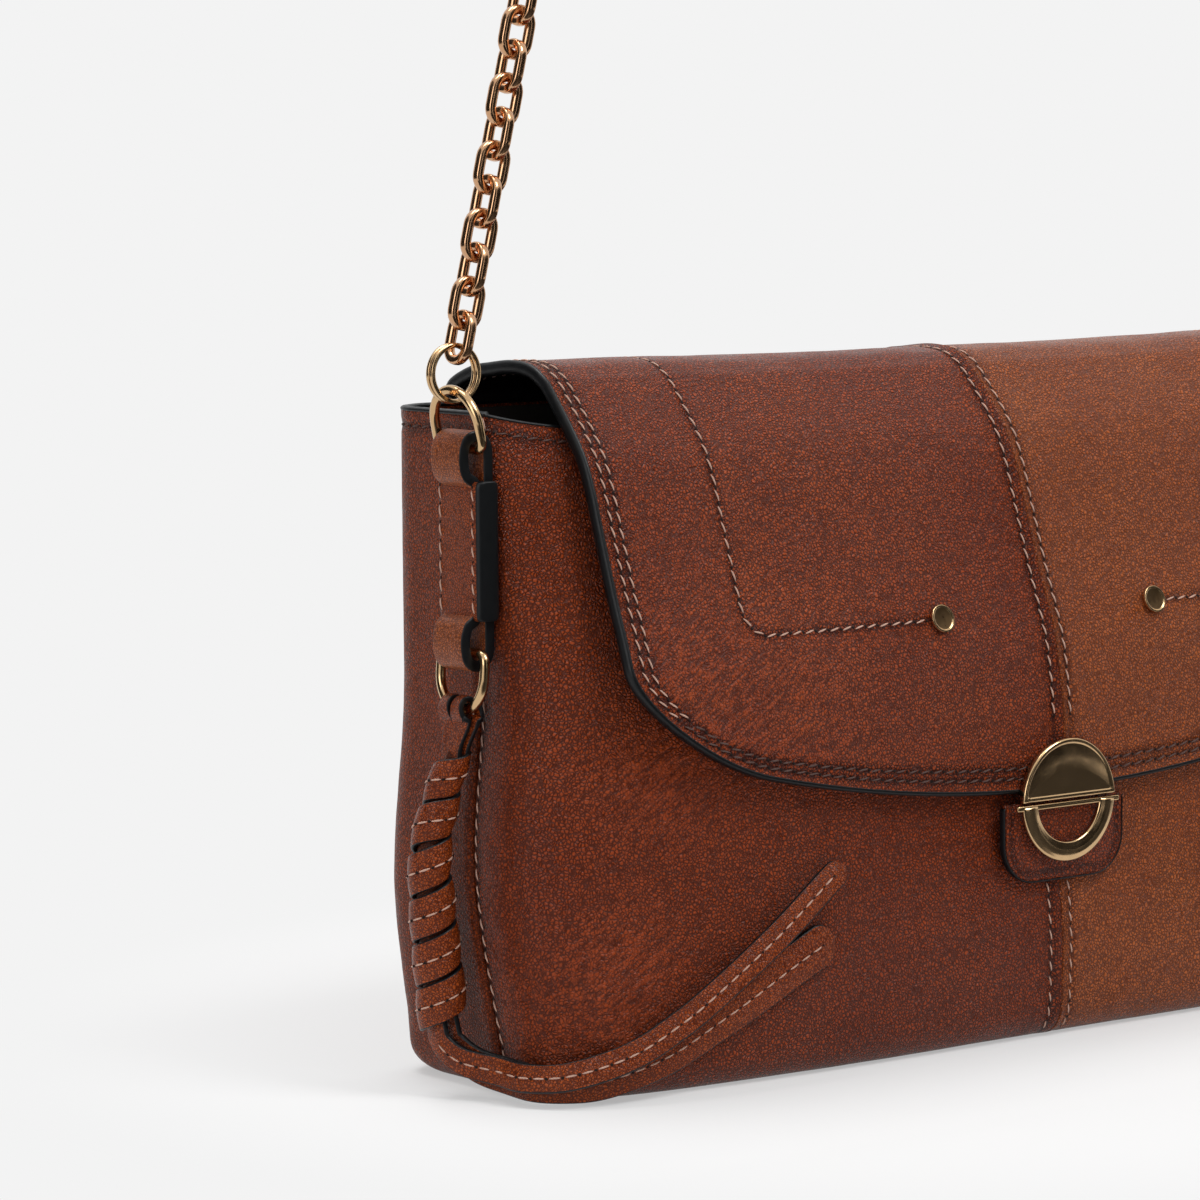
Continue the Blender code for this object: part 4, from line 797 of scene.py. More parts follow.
def flap_point(x, distance):
    """Places on the flap's face, for arrays of x and of distance from the root. The lower
    edge climbs toward the sides, and the rows above follow it less and less."""
    share = np.maximum(distance - FLAP_STRAIGHT, 0) / FLAP_CORNER_RADIUS
    spread = (np.minimum(np.abs(x), FLAP_HALF_WIDTH) / FLAP_EDGE_SPAN) ** 2
    d = distance - FLAP_EDGE_RISE * spread * share
    y, z = np.moveaxis(at_distance(FLAP_RUN, d), -1, 0)
    crown = BODY_HEIGHT + FLAP_RISE - FLAP_SHOULDER_HEIGHT
    rise = np.maximum(z - FLAP_SHOULDER_HEIGHT, 0) / crown
    dip = FLAP_CROWN_DIP * (1 - (x / FLAP_HALF_WIDTH) ** 2) * rise**2
    return np.stack([x, y, z - dip * np.minimum(d / FLAP_DIP_RUN_IN, 1)], -1)


def flap_border(margin=0.0, start=0.0, straight_count=120, corner_count=41):
    """Half width and distance of the right-hand border, from the root to the lower edge."""
    x = FLAP_HALF_WIDTH - margin
    straight = np.linspace((x, start), (x, FLAP_STRAIGHT), straight_count, endpoint=False)
    radius = FLAP_CORNER_RADIUS - margin
    corner = arc(FLAP_CORNER_X, FLAP_STRAIGHT, radius, 0, QUARTER, corner_count)
    return np.concatenate([straight, corner])


def inset_border(inset, to_x=0.0):
    """A line at a fixed distance inside the border, from near the root to the middle."""
    d = FLAP_LENGTH - inset
    low = np.linspace((FLAP_CORNER_X, d), (to_x, d), 60)[1:]
    return np.concatenate([flap_border(inset, 0.004, 100, 30), low])


def border_distance(x, distance):
    """How far a point of the flat flap lies inside its border."""
    x = np.abs(x)
    in_corner = (x > FLAP_CORNER_X) & (distance > FLAP_STRAIGHT)
    radial = FLAP_CORNER_RADIUS - np.hypot(x - FLAP_CORNER_X, distance - FLAP_STRAIGHT)
    return np.where(in_corner, radial, np.minimum(FLAP_HALF_WIDTH - x, FLAP_LENGTH - distance))


def flap_line(line, sign):
    """Places and outward normals on the flap along a line of (x, distance)."""
    x, d = line[:, 0] * sign, line[:, 1]
    step = 0.0008
    before, after = np.maximum(d - step, 0), np.minimum(d + step, FLAP_LENGTH)
    ahead = flap_point(x, after) - flap_point(x, before)
    beside = flap_point(x + step, d) - flap_point(x - step, d)
    return flap_point(x, d), unit(np.cross(ahead, beside))


print("flap length along its curve: %.1f mm" % (FLAP_LENGTH / MM))

# %% Flap leather, stitches and painted edge
EDGE_ROWS = (0.0031, 0.0056)
LINE_X, LINE_HEIGHT, LINE_RADIUS = 0.0972, 0.1075, 0.007
RIVET_SPREAD, RIVET_CLEAR = 0.036, 0.0045
SLOW_WAVE, QUICK_WAVE = 0.0004, 0.00012
FLAP_GROOVE, FLAP_RIDGE = 0.0003, 0.0007
# How far round the flap's corner its rows turn to the darker thread, painted shade.
STITCHES_TURN_SHADED = 0.024
FLAP_PAINT_PROUD = 0.0009

# The stitched line on each half goes down, rounds a corner and ends at the rivet.
lower_half = slice(len(FLAP_RUN) // 2, None)
LINE_D = np.interp(-LINE_HEIGHT, -FLAP_RUN[lower_half, 1], distances(FLAP_RUN)[lower_half])
turn_x, turn_d = LINE_X - LINE_RADIUS, LINE_D - LINE_RADIUS
down = np.linspace((LINE_X, 0.012), (LINE_X, turn_d), 90, endpoint=False)
across = np.linspace((turn_x, LINE_D), (RIVET_SPREAD + RIVET_CLEAR, LINE_D), 40)[1:]
ORNAMENT = np.concatenate([down, arc(turn_x, turn_d, LINE_RADIUS, 0, QUARTER, 12), across])


def flap_waves(points, inside):
    """The slow and fine waves of the flap, still at its edge."""
    slow = fold_noise(points, 0.030, (1, 1, 1), 3)
    fine = fold_noise(points, 0.007, (0.6, 1, 1.6), 4)
    return (SLOW_WAVE * slow + QUICK_WAVE * fine) * np.clip(inside / 0.010, 0, 1)


def flap_piece(side, sign, look, slot):
    share = np.linspace(0, 1, 97)
    border = flap_border()
    x = SEAM_GAP / 2 + (border[:, :1] - SEAM_GAP / 2) * share[None]
    d = np.repeat(border[:, 1:], len(share), axis=1)
    points = flap_point(x, d)
    normals = -face_normals(points)
    inside = border_distance(x, d)
    to_line = np.minimum.reduce([np.hypot(x - line_x, d - line_d) for line_x, line_d in ORNAMENT])
    grooves = [bell(inside - row) for row in EDGE_ROWS]
    groove = np.maximum.reduce(grooves + [bell(x - MIDDLE_STITCH), bell(to_line, 0.0009)])
    shift = flap_waves(points, inside) - FLAP_GROOVE * groove + FLAP_RIDGE * bell(x, 0.0015)
    # The seam mark paints shade along the stitch grooves; drag turns the grain into creases.
    marks = {"seam": groove, "drag": bell(x - 0.115, 0.045) * bell(points[..., 2] - 0.085, 0.040)}
    marks = {mark: values[:, ::-sign] for mark, values in marks.items()}
    points = ((points + normals * shift[..., None]) * (sign, 1, 1))[:, ::-sign]
    piece = sheet_of("flap_leather_" + side, points, look, FLAP_LEATHER, **marks)
    dress(piece, "flap", slot, "flap_" + side)
    rows = []
    for number, inset in enumerate(EDGE_ROWS):
        line = inset_border(inset, MIDDLE_STITCH + 0.001)
        # Past this distance round the corner the rows take the darker thread, painted shade.
        low = line[:, 1] > FLAP_STRAIGHT + STITCHES_TURN_SHADED
        rows.append(("side_stitches_%s_%d" % (side, number + 1), line[~low], THREAD))
        rows.append(("bottom_stitches_%s_%d" % (side, number + 1), line[low], THREAD_IN_SHADE))
    rows.append(("line_stitches_" + side, ORNAMENT, THREAD))
    middle = np.linspace((MIDDLE_STITCH, 0.004), (MIDDLE_STITCH, FLAP_LENGTH - 0.018), 120)
    rows.append(("middle_stitches_" + side, middle, THREAD))
    for name, line, thread in rows:
        stitch_row("flap_" + name, *flap_line(line, sign), "flap", thread)


flap_piece("left", -1, FLAP_BROWN, "leather_brown")
flap_piece("right", 1, FLAP_TAN, "leather_tan")

border = flap_border()
half = np.concatenate([border, np.linspace((border[-1, 0], FLAP_LENGTH), (0, FLAP_LENGTH), 60)[1:]])
edge, outward = flap_line(np.concatenate([half * (-1, 1), half[::-1][1:]]), 1)
run = edge - outward * (FLAP_TOTAL / 2)
sideways = unit(np.cross(outward, run_direction(run)))
half_width = FLAP_TOTAL / 2 + PAINT_OVERLAP
bead = rolled("flap_edge_paint", run, outward, sideways, half_width, FLAP_PAINT_PROUD, EDGE_PAINT)
dress(bead, "flap", "lining_fabric")
print("flap edge points:", len(run))

# %% Underside of the flap
LINING_MARGIN = 0.0006
PLAY = 0.0001
border = flap_border(LINING_MARGIN)
x = np.linspace(-1, 1, 141)[None] * border[:, :1]
d = np.repeat(border[:, 1:], x.shape[1], axis=1)
points = flap_point(x, d)
depth = FLAP_LEATHER + AIR + PLAY - flap_waves(points, border_distance(x, d))
under = points + face_normals(points) * depth[..., None]
thickness = FLAP_TOTAL - FLAP_LEATHER - AIR
piece = sheet_of("flap_lining_leather", under[:, ::-1], LINING_LEATHER, thickness)
dress(piece, "flap", "lining_fabric", "flap_lining")
for side, sign in SIDES:
    run, out = flap_line(inset_border(EDGE_ROWS[0]), sign)
    run = run - out * (FLAP_TOTAL + PLAY)
    # The flap's inner rows take the darker thread, painted shade under the flap.
    stitch_row("flap_inner_stitches_" + side, run, -out, "flap", THREAD_IN_SHADE)
print("flap lining:", len(piece.data.polygons), "faces")

# %% [markdown]
# ## Base, lining and pocket
#
# Under the panels lies a flat base of thick leather. Inside hangs a twill lining, a cup a
# little smaller than the bag, with a slip pocket sewn to its back wall. The base and the
# lining are closed shells: one grid runs out along one face, round the edge and back along
# the other, so that the cloth has its thickness without a modifier.


# %% Base leather
def whole_outline(z):
    half = np.concatenate([front_run(z), back_run(z)[1:]])
    return even(np.concatenate([half, (half * (-1, 1))[::-1][1:]]), 161)


def disc_rows(ring, count):
    """The ring drawn together toward its middle, in rows from the middle outward."""
    middle = np.array((0, (ring[:, 1].min() + ring[:, 1].max()) / 2, ring[0, 2]))
    return [middle + (ring - middle) * share for share in np.linspace(0, 1, count)]


BASE_THICKNESS, BASE_ROUND = 0.0022, 0.0005
RINGS = np.array([whole_outline(z) for z in HEIGHTS])
below = disc_rows(on_table(RINGS, 0, BOTTOM_RADIUS + SEAM_GAP + BASE_ROUND), 12)
rim = on_table(RINGS, 0, BOTTOM_RADIUS + SEAM_GAP)
rows = below + [rim + (0, 0, h) for h in (BASE_ROUND, BASE_THICKNESS - BASE_ROUND)]
rows += [row + (0, 0, BASE_THICKNESS) for row in below[::-1]]
piece = bend_grid("base_leather", np.array(rows), [SIDE_BROWN], closed=True)
dress(piece, "bag", "leather_dark", "base_panel")
print("base:", len(piece.data.polygons), "faces")

# %% Lining and slip pocket
LINING_DEPTH = 0.0029
LINING_SLACK = 0.0004
CLOTH = 0.0007
LINING_DROP = 0.0010
ON_FRONT = RINGS[-1, :, 1] < seam_y(BODY_HEIGHT)


def cup(depth):
    """Rows of the lining from the middle of its floor up to its rim."""
    radius = BOTTOM_RADIUS - depth
    rows = disc_rows(on_table(RINGS, depth, BOTTOM_RADIUS), 6)
    for angle in np.linspace(QUARTER, 0, 8, endpoint=False)[1:]:
        inset = BOTTOM_RADIUS - radius * math.cos(angle)
        rows.append(on_table(RINGS, BOTTOM_RADIUS - radius * math.sin(angle), inset))
    tops = rim_height(RINGS[-1, :, 0], ON_FRONT) - LINING_DROP
    for climb in np.linspace(0, 1, 40):
        height = BOTTOM_RADIUS + climb * (tops - BOTTOM_RADIUS)
        folds = 1 + fold_noise(on_table(RINGS, height, depth), 0.020, (0.7, 1, 1), 5)
        loose = LINING_SLACK * folds * math.sin(math.pi * climb)
        rows.append(on_table(RINGS, height, depth + loose))
    return rows


inner, outer = cup(LINING_DEPTH), cup(LINING_DEPTH + CLOTH)
piece = bend_grid("lining_cloth", np.array(inner + outer[::-1]), [TWILL], closed=True)
dress(piece, "bag", "lining_fabric", "lining")

POCKET_HALF_WIDTH, POCKET_HEIGHT, POCKET_BOTTOM = 0.055, 0.070, 0.055
POCKET_FACE = 0.0357
POCKET_SAG, HEM_START, HEM_DEPTH = 0.0005, 0.86, 0.0002
POCKET_STITCH_INSET = 0.002
u, v = np.meshgrid(np.linspace(-1, 1, 61), np.linspace(0, 1, 41))
hem = np.clip((v - HEM_START) / 0.02, 0, 1) * HEM_DEPTH
y = POCKET_FACE - POCKET_SAG * (1 - u**4) * v**2 - hem
points = np.stack([u * POCKET_HALF_WIDTH, y, POCKET_BOTTOM + v * POCKET_HEIGHT], -1)
piece = sheet_of("slip_pocket_cloth", points, TWILL, CLOTH)
dress(piece, "bag", "lining_fabric", "inner_slip_pocket")
x = POCKET_HALF_WIDTH - POCKET_STITCH_INSET
low, high = POCKET_BOTTOM + POCKET_STITCH_INSET, POCKET_BOTTOM + POCKET_HEIGHT
corners = np.array([(-x, 0, high), (-x, 0, low), (x, 0, low), (x, 0, high)])
run = at_distance(corners + (0, POCKET_FACE, 0), np.linspace(0, 0.24, 120))
# The pocket's row takes the darker thread, painted shade inside the bag.
stitch_row("slip_pocket_stitches", run, np.tile((0, -1, 0), (len(run), 1)), "bag", THREAD_IN_SHADE)
print("lining rim at %.1f mm" % (max(row[:, 2].max() for row in inner) / MM))

# %% [markdown]
# ## Straps with painted edges
#
# Tabs, laces and the tassel's winding are all flat leather straps: two faces with a slight
# crown and two rounded, painted edges. One helper carries such a section along a run, and
# gives the faces of the edges their own material.


# %% Strap helper
def strap(name, run, wide, out, half_width, half_height, radius, looks, crown, steps=4):
    """A flat strap along a run. Its face looks to out, and its edges lie to either side."""
    section = []
    for corner, start in ((1, -90), (1, 0), (-1, 90), (-1, 180)):
        face = 1 if start in (0, 90) else -1
        for angle in np.radians(np.linspace(start, start + 90, steps + 1)):
            section.append((corner, math.cos(angle), face, math.sin(angle), 0))
        if start in (0, 180):
            for t in np.linspace(corner, -corner, 7)[1:-1]:
                section.append((t, 0, face, face, (1 - t * t) * max(face, 0)))
    section = np.array(section + section[:1])
    corner, side, face, rise, bulge = (section[None, :, k] for k in range(5))
    half_width = np.broadcast_to(half_width, len(run))[:, None]
    half_height = np.broadcast_to(half_height, len(run))[:, None]
    r = np.minimum(np.minimum(radius, half_width), half_height)
    sideways = corner * (half_width - r) + side * r
    upward = face * (half_height - r) + rise * r + bulge * crown
    points = run[:, None] + sideways[..., None] * wide[:, None] + upward[..., None] * out[:, None]
    edge = (np.abs(side[0, :-1]) + np.abs(side[0, 1:])) / 2 > 0.35
    if len(looks) == 1:
        return bend_grid(name, points, looks, closed=True)
    piece = bend_grid(name, points, looks, lambda row, column: edge[column], closed=True)
    for face in piece.data.polygons:
        if len(face.vertices) > 4:
            face.material_index = 1
    return piece


def frames_along(run, wide):
    """Wide and outward directions, square to the run and to each other."""
    along = run_direction(run)
    out = unit(np.cross(along, np.broadcast_to(wide, run.shape)))
    return np.cross(out, along), out


print("a strap has two faces and two painted edges")

# %% [markdown]
# ## Side tabs
#
# Each tab is a leather band folded into a loop at either end, where a ring's bar passes
# through. A thicker piece is stitched over the middle. All its edges are painted black.

# %% Side tabs
TAB_INNER_X = HALF_WIDTH + AIR
TAB_TOP, TAB_BOTTOM = 0.1584, 0.1015
TAB_HALF_WIDTH, LOOP_HALF_WIDTH = 0.00825, 0.0059
BAND_HALF_THICKNESS, BLOCK_HALF_THICKNESS = 0.0014, 0.00325
BLOCK_END, BLOCK_ROUND, BLOCK_THINNING = 0.0121, 0.0016, 0.0007
NEAR_END, NEAR_OTHER_END = (0, 0.008, 0.02, 0.04), (0.96, 0.98, 0.992, 1)
LOOP_PATH_MM = (
    (1.6, 14.4), (1.6, 9.0), (1.7, 4.8), (2.8, 2.4), (5.1, 1.5), (7.5, 2.4),
    (8.5, 4.8), (8.6, 8.0), (7.7, 10.8), (5.6, 12.3), (4.7, 14.2),
)


def tab(side, sign):
    for label, end, turn in (("upper", TAB_TOP, -1), ("lower", TAB_BOTTOM, 1)):
        away, up = spline(LOOP_PATH_MM, 5).T * MM
        run = np.stack([sign * (TAB_INNER_X + away), 0 * away, end + turn * up], 1)
        frame_of = frames_along(run, (0, sign * turn, 0))
        sizes = LOOP_HALF_WIDTH, BAND_HALF_THICKNESS, 0.0006
        name = "tab_%s_loop_%s" % (label, side)
        band = strap(name, run, *frame_of, *sizes, [TAB_TAN, EDGE_PAINT], 0.0002)
        dress(band, "bag", "leather_tan")
    low, high = TAB_BOTTOM + BLOCK_END, TAB_TOP - BLOCK_END
    inner = np.linspace(0.07, 0.93, 30)
    z = low + (high - low) * np.concatenate([NEAR_END, inner, NEAR_OTHER_END])
    run = np.stack([np.full(len(z), sign * (TAB_INNER_X + BLOCK_HALF_THICKNESS)), 0 * z, z], 1)
    end = np.clip(np.minimum(z - low, high - z) / BLOCK_ROUND, 0, 1)
    thick = BLOCK_HALF_THICKNESS - BLOCK_THINNING * (1 - np.sqrt(1 - (1 - end) ** 2))
    frame_of = np.tile((0, 1, 0), (len(z), 1)), np.tile((sign, 0, 0), (len(z), 1))
    sizes = TAB_HALF_WIDTH, thick, BLOCK_ROUND
    block = strap("tab_middle_" + side, run, *frame_of, *sizes, [TAB_BROWN, EDGE_PAINT], 0.0002, 6)
    dress(block, "bag", "leather_tan", "tab_" + side)
    x = sign * (TAB_INNER_X + 2 * BLOCK_HALF_THICKNESS)
    for number, y in enumerate((-0.0059, 0.0069)):
        run = np.linspace((x, y, low + 0.0010), (x, y, high - 0.0010), 40)
        out = np.tile((sign, 0, 0), (len(run), 1))
        stitch_row("tab_stitches_%s_%d" % (side, number + 1), run, out, "bag", THREAD)


for side, sign in SIDES:
    tab(side, sign)
print("tab from %.1f to %.1f mm high" % (TAB_BOTTOM / MM, TAB_TOP / MM))

# %% [markdown]
# ## Rings
#
# The D rings are bent from round steel wire and plated. The split ring is a flat-sided wire
# wound almost twice, which steps from one turn to the other at a crank. Each is a section
# carried along its run, modelled once and copied.


# %% D rings
def closed_direction(run):
    """Directions along a closed run, whose last point repeats its first."""
    around = np.concatenate([run[-2:-1], run, run[1:2]])
    return unit(around[2:] - around[:-2])


def copied(model, name, stand):
    """A copy with its own mesh, moved to its place."""
    piece = model.copy()
    piece.data = model.data.copy()
    piece.name = piece.data.name = name
    piece.data.transform(stand)
    bpy.context.scene.collection.objects.link(piece)
    return piece


RING_WIRE = 0.0012
RING_HALF_WIDTH, RING_REACH, RING_CORNER = 0.0086, 0.0142, 0.0026
UPPER_LEAN, LOWER_LEAN = math.radians(12), math.radians(4)
BAR_X = 0.1580
UPPER_BAR_Z, LOWER_BAR_Z = 0.1538, 0.1061

bow = arc(0, RING_REACH - RING_HALF_WIDTH, RING_HALF_WIDTH, 0, math.pi, 40)
corner_y = RING_HALF_WIDTH - RING_CORNER
first = arc(-corner_y, RING_CORNER, RING_CORNER, math.pi, 3 * QUARTER, 8)
second = arc(corner_y, RING_CORNER, RING_CORNER, 3 * QUARTER, 2 * math.pi, 8)
run = even(np.insert(np.concatenate([bow, first, second, bow[:1]]), 0, 0, axis=1), 81)
wide = np.tile((1.0, 0, 0), (len(run), 1))
out = np.cross(closed_direction(run), wide)
model = rolled("d_ring", run, wide, out, RING_WIRE, RING_WIRE, GOLD)
for side, sign in SIDES:
    for label, height, turn in (
        ("upper", UPPER_BAR_Z, sign * UPPER_LEAN),
        ("lower", LOWER_BAR_Z, math.pi - sign * LOWER_LEAN),
    ):
        stand = Matrix.Translation((sign * BAR_X, 0, height)) @ Matrix.Rotation(turn, 4, "Y")
        piece = copied(model, "%s_d_ring_%s" % (label, side), stand)
        node = "%s_ring_%s" % (label, side)
        dress(piece, node, "gold_metal", node)
bpy.data.objects.remove(model)
print("D rings:", 4)

# %% Split rings
SPLIT_WIRE = 0.0006
SPLIT_RADIUS = 0.0066
SPLIT_TURNS, SPLIT_START = 1.9, -1.26
SPLIT_HALF_STEP, CRANK_START, CRANK_TURN = 0.00072, 0.87, 0.16
CHAIN_LEAN = math.radians(13.7)
SPLIT_PLAY = 0.0009


def bow_of(sign, up, lean, bar_z):
    """The outermost point of an upper (up is 1) or lower (-1) ring's wire, on its centre line."""
    x = sign * (BAR_X + RING_REACH * math.sin(lean))
    return np.array((x, 0, bar_z + up * RING_REACH * math.cos(lean)))


def chain_direction(sign):
    return np.array((-sign * math.sin(CHAIN_LEAN), 0, math.cos(CHAIN_LEAN)))


def split_centre(sign):
    hang = SPLIT_RADIUS - SPLIT_WIRE - RING_WIRE - SPLIT_PLAY
    return bow_of(sign, 1, UPPER_LEAN, UPPER_BAR_Z) + hang * chain_direction(sign)


def squared(oval, power):
    """A section drawn out toward a square, by one power or by one for each point."""
    return np.copysign(np.abs(oval) ** power, oval)


turns = np.linspace(0, SPLIT_TURNS, 110)
step = np.clip((turns - CRANK_START) / CRANK_TURN, 0, 1)
step = SPLIT_HALF_STEP * (2 * step * step * (3 - 2 * step) - 1)
angle = 2 * math.pi * turns + SPLIT_START
out = np.stack([np.cos(angle), 0 * angle, np.sin(angle)], 1)
run = SPLIT_RADIUS * out + step[:, None] * (0, 1, 0)
wide = np.tile((0.0, 1, 0), (len(run), 1))
section = squared(OVAL, 0.6)
model = rolled("split_ring", run, wide, out, SPLIT_WIRE, SPLIT_WIRE, GOLD, section)
for side, sign in SIDES:
    stand = Matrix.Translation(split_centre(sign)) @ Matrix.Rotation(sign * CHAIN_LEAN, 4, "Y")
    piece = copied(model, "steel_split_ring_" + side, stand)
    dress(piece, "strap", "gold_metal", "split_ring_" + side)
bpy.data.objects.remove(model)
print("split rings:", 2)

# %% [markdown]
# ## Chain
#
# The strap is an anchor chain: long links of round wire, each turned a quarter to the last
# and ground flat on the outside, so that they flash as the chain moves. One link is modelled
# and copied along the strap's line, two straight legs joined by an arch.

# %% One link
LINK_WIRE = 0.0012
LINK_LENGTH, LINK_WIDTH = 0.0132, 0.0091
LINK_COUNT, LOOSE_LINKS = 77, 12
LINK_PITCH = LINK_LENGTH - 4 * LINK_WIRE - AIR
SPLIT_HOOK_PLAY = 0.0016
FIRST_LINK = SPLIT_RADIUS - SPLIT_WIRE - LINK_WIRE - SPLIT_HOOK_PLAY + LINK_LENGTH / 2 - LINK_WIRE

bend = LINK_WIDTH / 2 - LINK_WIRE
straight = LINK_LENGTH / 2 - LINK_WIDTH / 2
first = arc(straight, 0, bend, -QUARTER, QUARTER, 14)
second = arc(-straight, 0, bend, QUARTER, 3 * QUARTER, 14)
run = even(np.insert(np.concatenate([first, second, first[:1]]), 2, 0, axis=1), 37)
normal = np.tile((0.0, 0, 1), (len(run), 1))
away = np.cross(closed_direction(run), normal)
wire = arc(0, 0, 1, 0, 2 * math.pi, 17)
ground = squared(wire, np.where(wire[:, :1] > 0.01, 0.55, 1))
link_model = rolled("chain_link", run, away, normal, LINK_WIRE, LINK_WIRE, CHAIN_GOLD, ground)
print("link pitch: %.1f mm" % (LINK_PITCH / MM))


# %% Links along the strap
def chain_place(distance):
    """Place and direction on the strap, by distance from the left split ring's centre."""
    half_span = -split_centre(-1)[0]
    whole = 2 * FIRST_LINK + (LINK_COUNT - 1) * LINK_PITCH
    sine, cosine = math.sin(CHAIN_LEAN), math.cos(CHAIN_LEAN)
    sweep = math.pi - 2 * CHAIN_LEAN
    fixed = 2 * half_span * sine + half_span * cosine * sweep
    rise = (whole - fixed) / (2 * cosine - sine * sweep)
    radius = half_span * cosine - rise * sine
    leg = half_span * sine + rise * cosine
    sign = -1
    if distance > whole / 2:
        distance, sign = whole - distance, 1
    if distance <= leg:
        along = chain_direction(sign)
        spot = split_centre(sign) + distance * along
    else:
        angle = math.pi - CHAIN_LEAN - (distance - leg) / radius
        height = split_centre(-1)[2] + rise + radius * math.sin(angle)
        spot = np.array((-sign * radius * math.cos(angle), 0, height))
        along = np.array((-sign * math.sin(angle), 0, -math.cos(angle)))
    return spot, -sign * along


def link_copy(name, number):
    """A copy of the link at its place in the strap, each turned a quarter to the last."""
    spot, along = chain_place(FIRST_LINK + number * LINK_PITCH)
    along, across = Vector(along), Vector((0, 1, 0))
    normal = along.cross(across)
    if number % 2:
        across, normal = normal, -across
    turn = Matrix((along, across, normal)).transposed().to_4x4()
    return copied(link_model, name, Matrix.Translation(spot) @ turn)


for number in range(LOOSE_LINKS):
    for side, index in (("left", number), ("right", LINK_COUNT - 1 - number)):
        name = "%s_%02d" % (side, number + 1)
        dress(link_copy("anchor_link_" + name, index), "strap", "gold_metal", "chain_link_" + name)
joined = [link_copy("arch_link", i) for i in range(LOOSE_LINKS, LINK_COUNT - LOOSE_LINKS)]
only(joined[0])
for piece in joined:
    piece.select_set(True)
bpy.ops.object.join()
arch_links = bpy.context.object
arch_links.name = arch_links.data.name = "arch_of_links"
dress(arch_links, "strap", "gold_metal", "chain_arch")
bpy.data.objects.remove(link_model)
print("chain top at %.1f mm" % (max(v.co.z for v in arch_links.data.vertices) / MM))

# %% [markdown]
# ## Tassels
#
# A long lace is doubled over the lower ring and bound with a flat strap, wound down in open
# turns that leave thin dark lines between them, where the core shows; the core is the lace
# leather painted darker, as shade. Its two ends come out below and run along the front of the
# bag. Laces and winding have a stitch line down the middle.

# %% Tassel shape
STEM_FOOT = 0.0165
STEM_TOP_RADIUS, STEM_SWELL = 0.0035, 0.0023
STEM_PATH = (
    (0.0067, 0.0015, 0.882), (0.0097, 0.0036, 0.729), (0.0127, 0.0042, 0.557),
    (0.0121, 0.0042, 0.358), (0.0109, 0.0040, 0.186), (0.0097, 0.0036, 0.0),
)
WRAP_THICKNESS, WRAP_TURNS = 0.0013, 5.5
WRAP_START = math.radians(38)
WRAP_GAP, VISIBLE_GAP = 0.0014, 0.0004
LACE_THICKNESS = 0.0015
LACE_ROUND, LACE_CROWN = 0.0005, 0.0004
LACE_LOOKS = [LACE_BROWN, EDGE_PAINT]
CORE_CLEAR, CORE_POINTS = 0.0004, 54


def lower_bow(sign):
    return bow_of(sign, -1, LOWER_LEAN, LOWER_BAR_Z)


def stem_line(sign):
    """Centre line of the wrapped stem, its direction, and two directions across it."""
    climb = lower_bow(sign)[2] - STEM_FOOT
    path = [(sign * (HALF_WIDTH + x), y, STEM_FOOT + share * climb) for x, y, share in STEM_PATH]
    run = even(spline(path, 8), 61)
    along = run_direction(run)
    across = unit(np.cross(along, (0, 1, 0)))
    return run, along, across, np.cross(along, across)


def wrap_radius(share):
    return STEM_TOP_RADIUS + STEM_SWELL * np.sin(QUARTER * share)


print("stem radius: %.1f to %.1f mm" % (wrap_radius(0) / MM, wrap_radius(1) / MM))

# %% Stem, winding and loop
LOOP_OFFSET, LOOP_RADIUS, LOOP_SWAY = 0.0024, 0.0029, 0.0006
LOOP_TURN = np.radians(np.linspace(-62, 242, 15))
LOOP_LEAN = 0.15
STRAND_SIZES, STRAND_CROWN = (0.0021, 0.0007, 0.0004), 0.0003


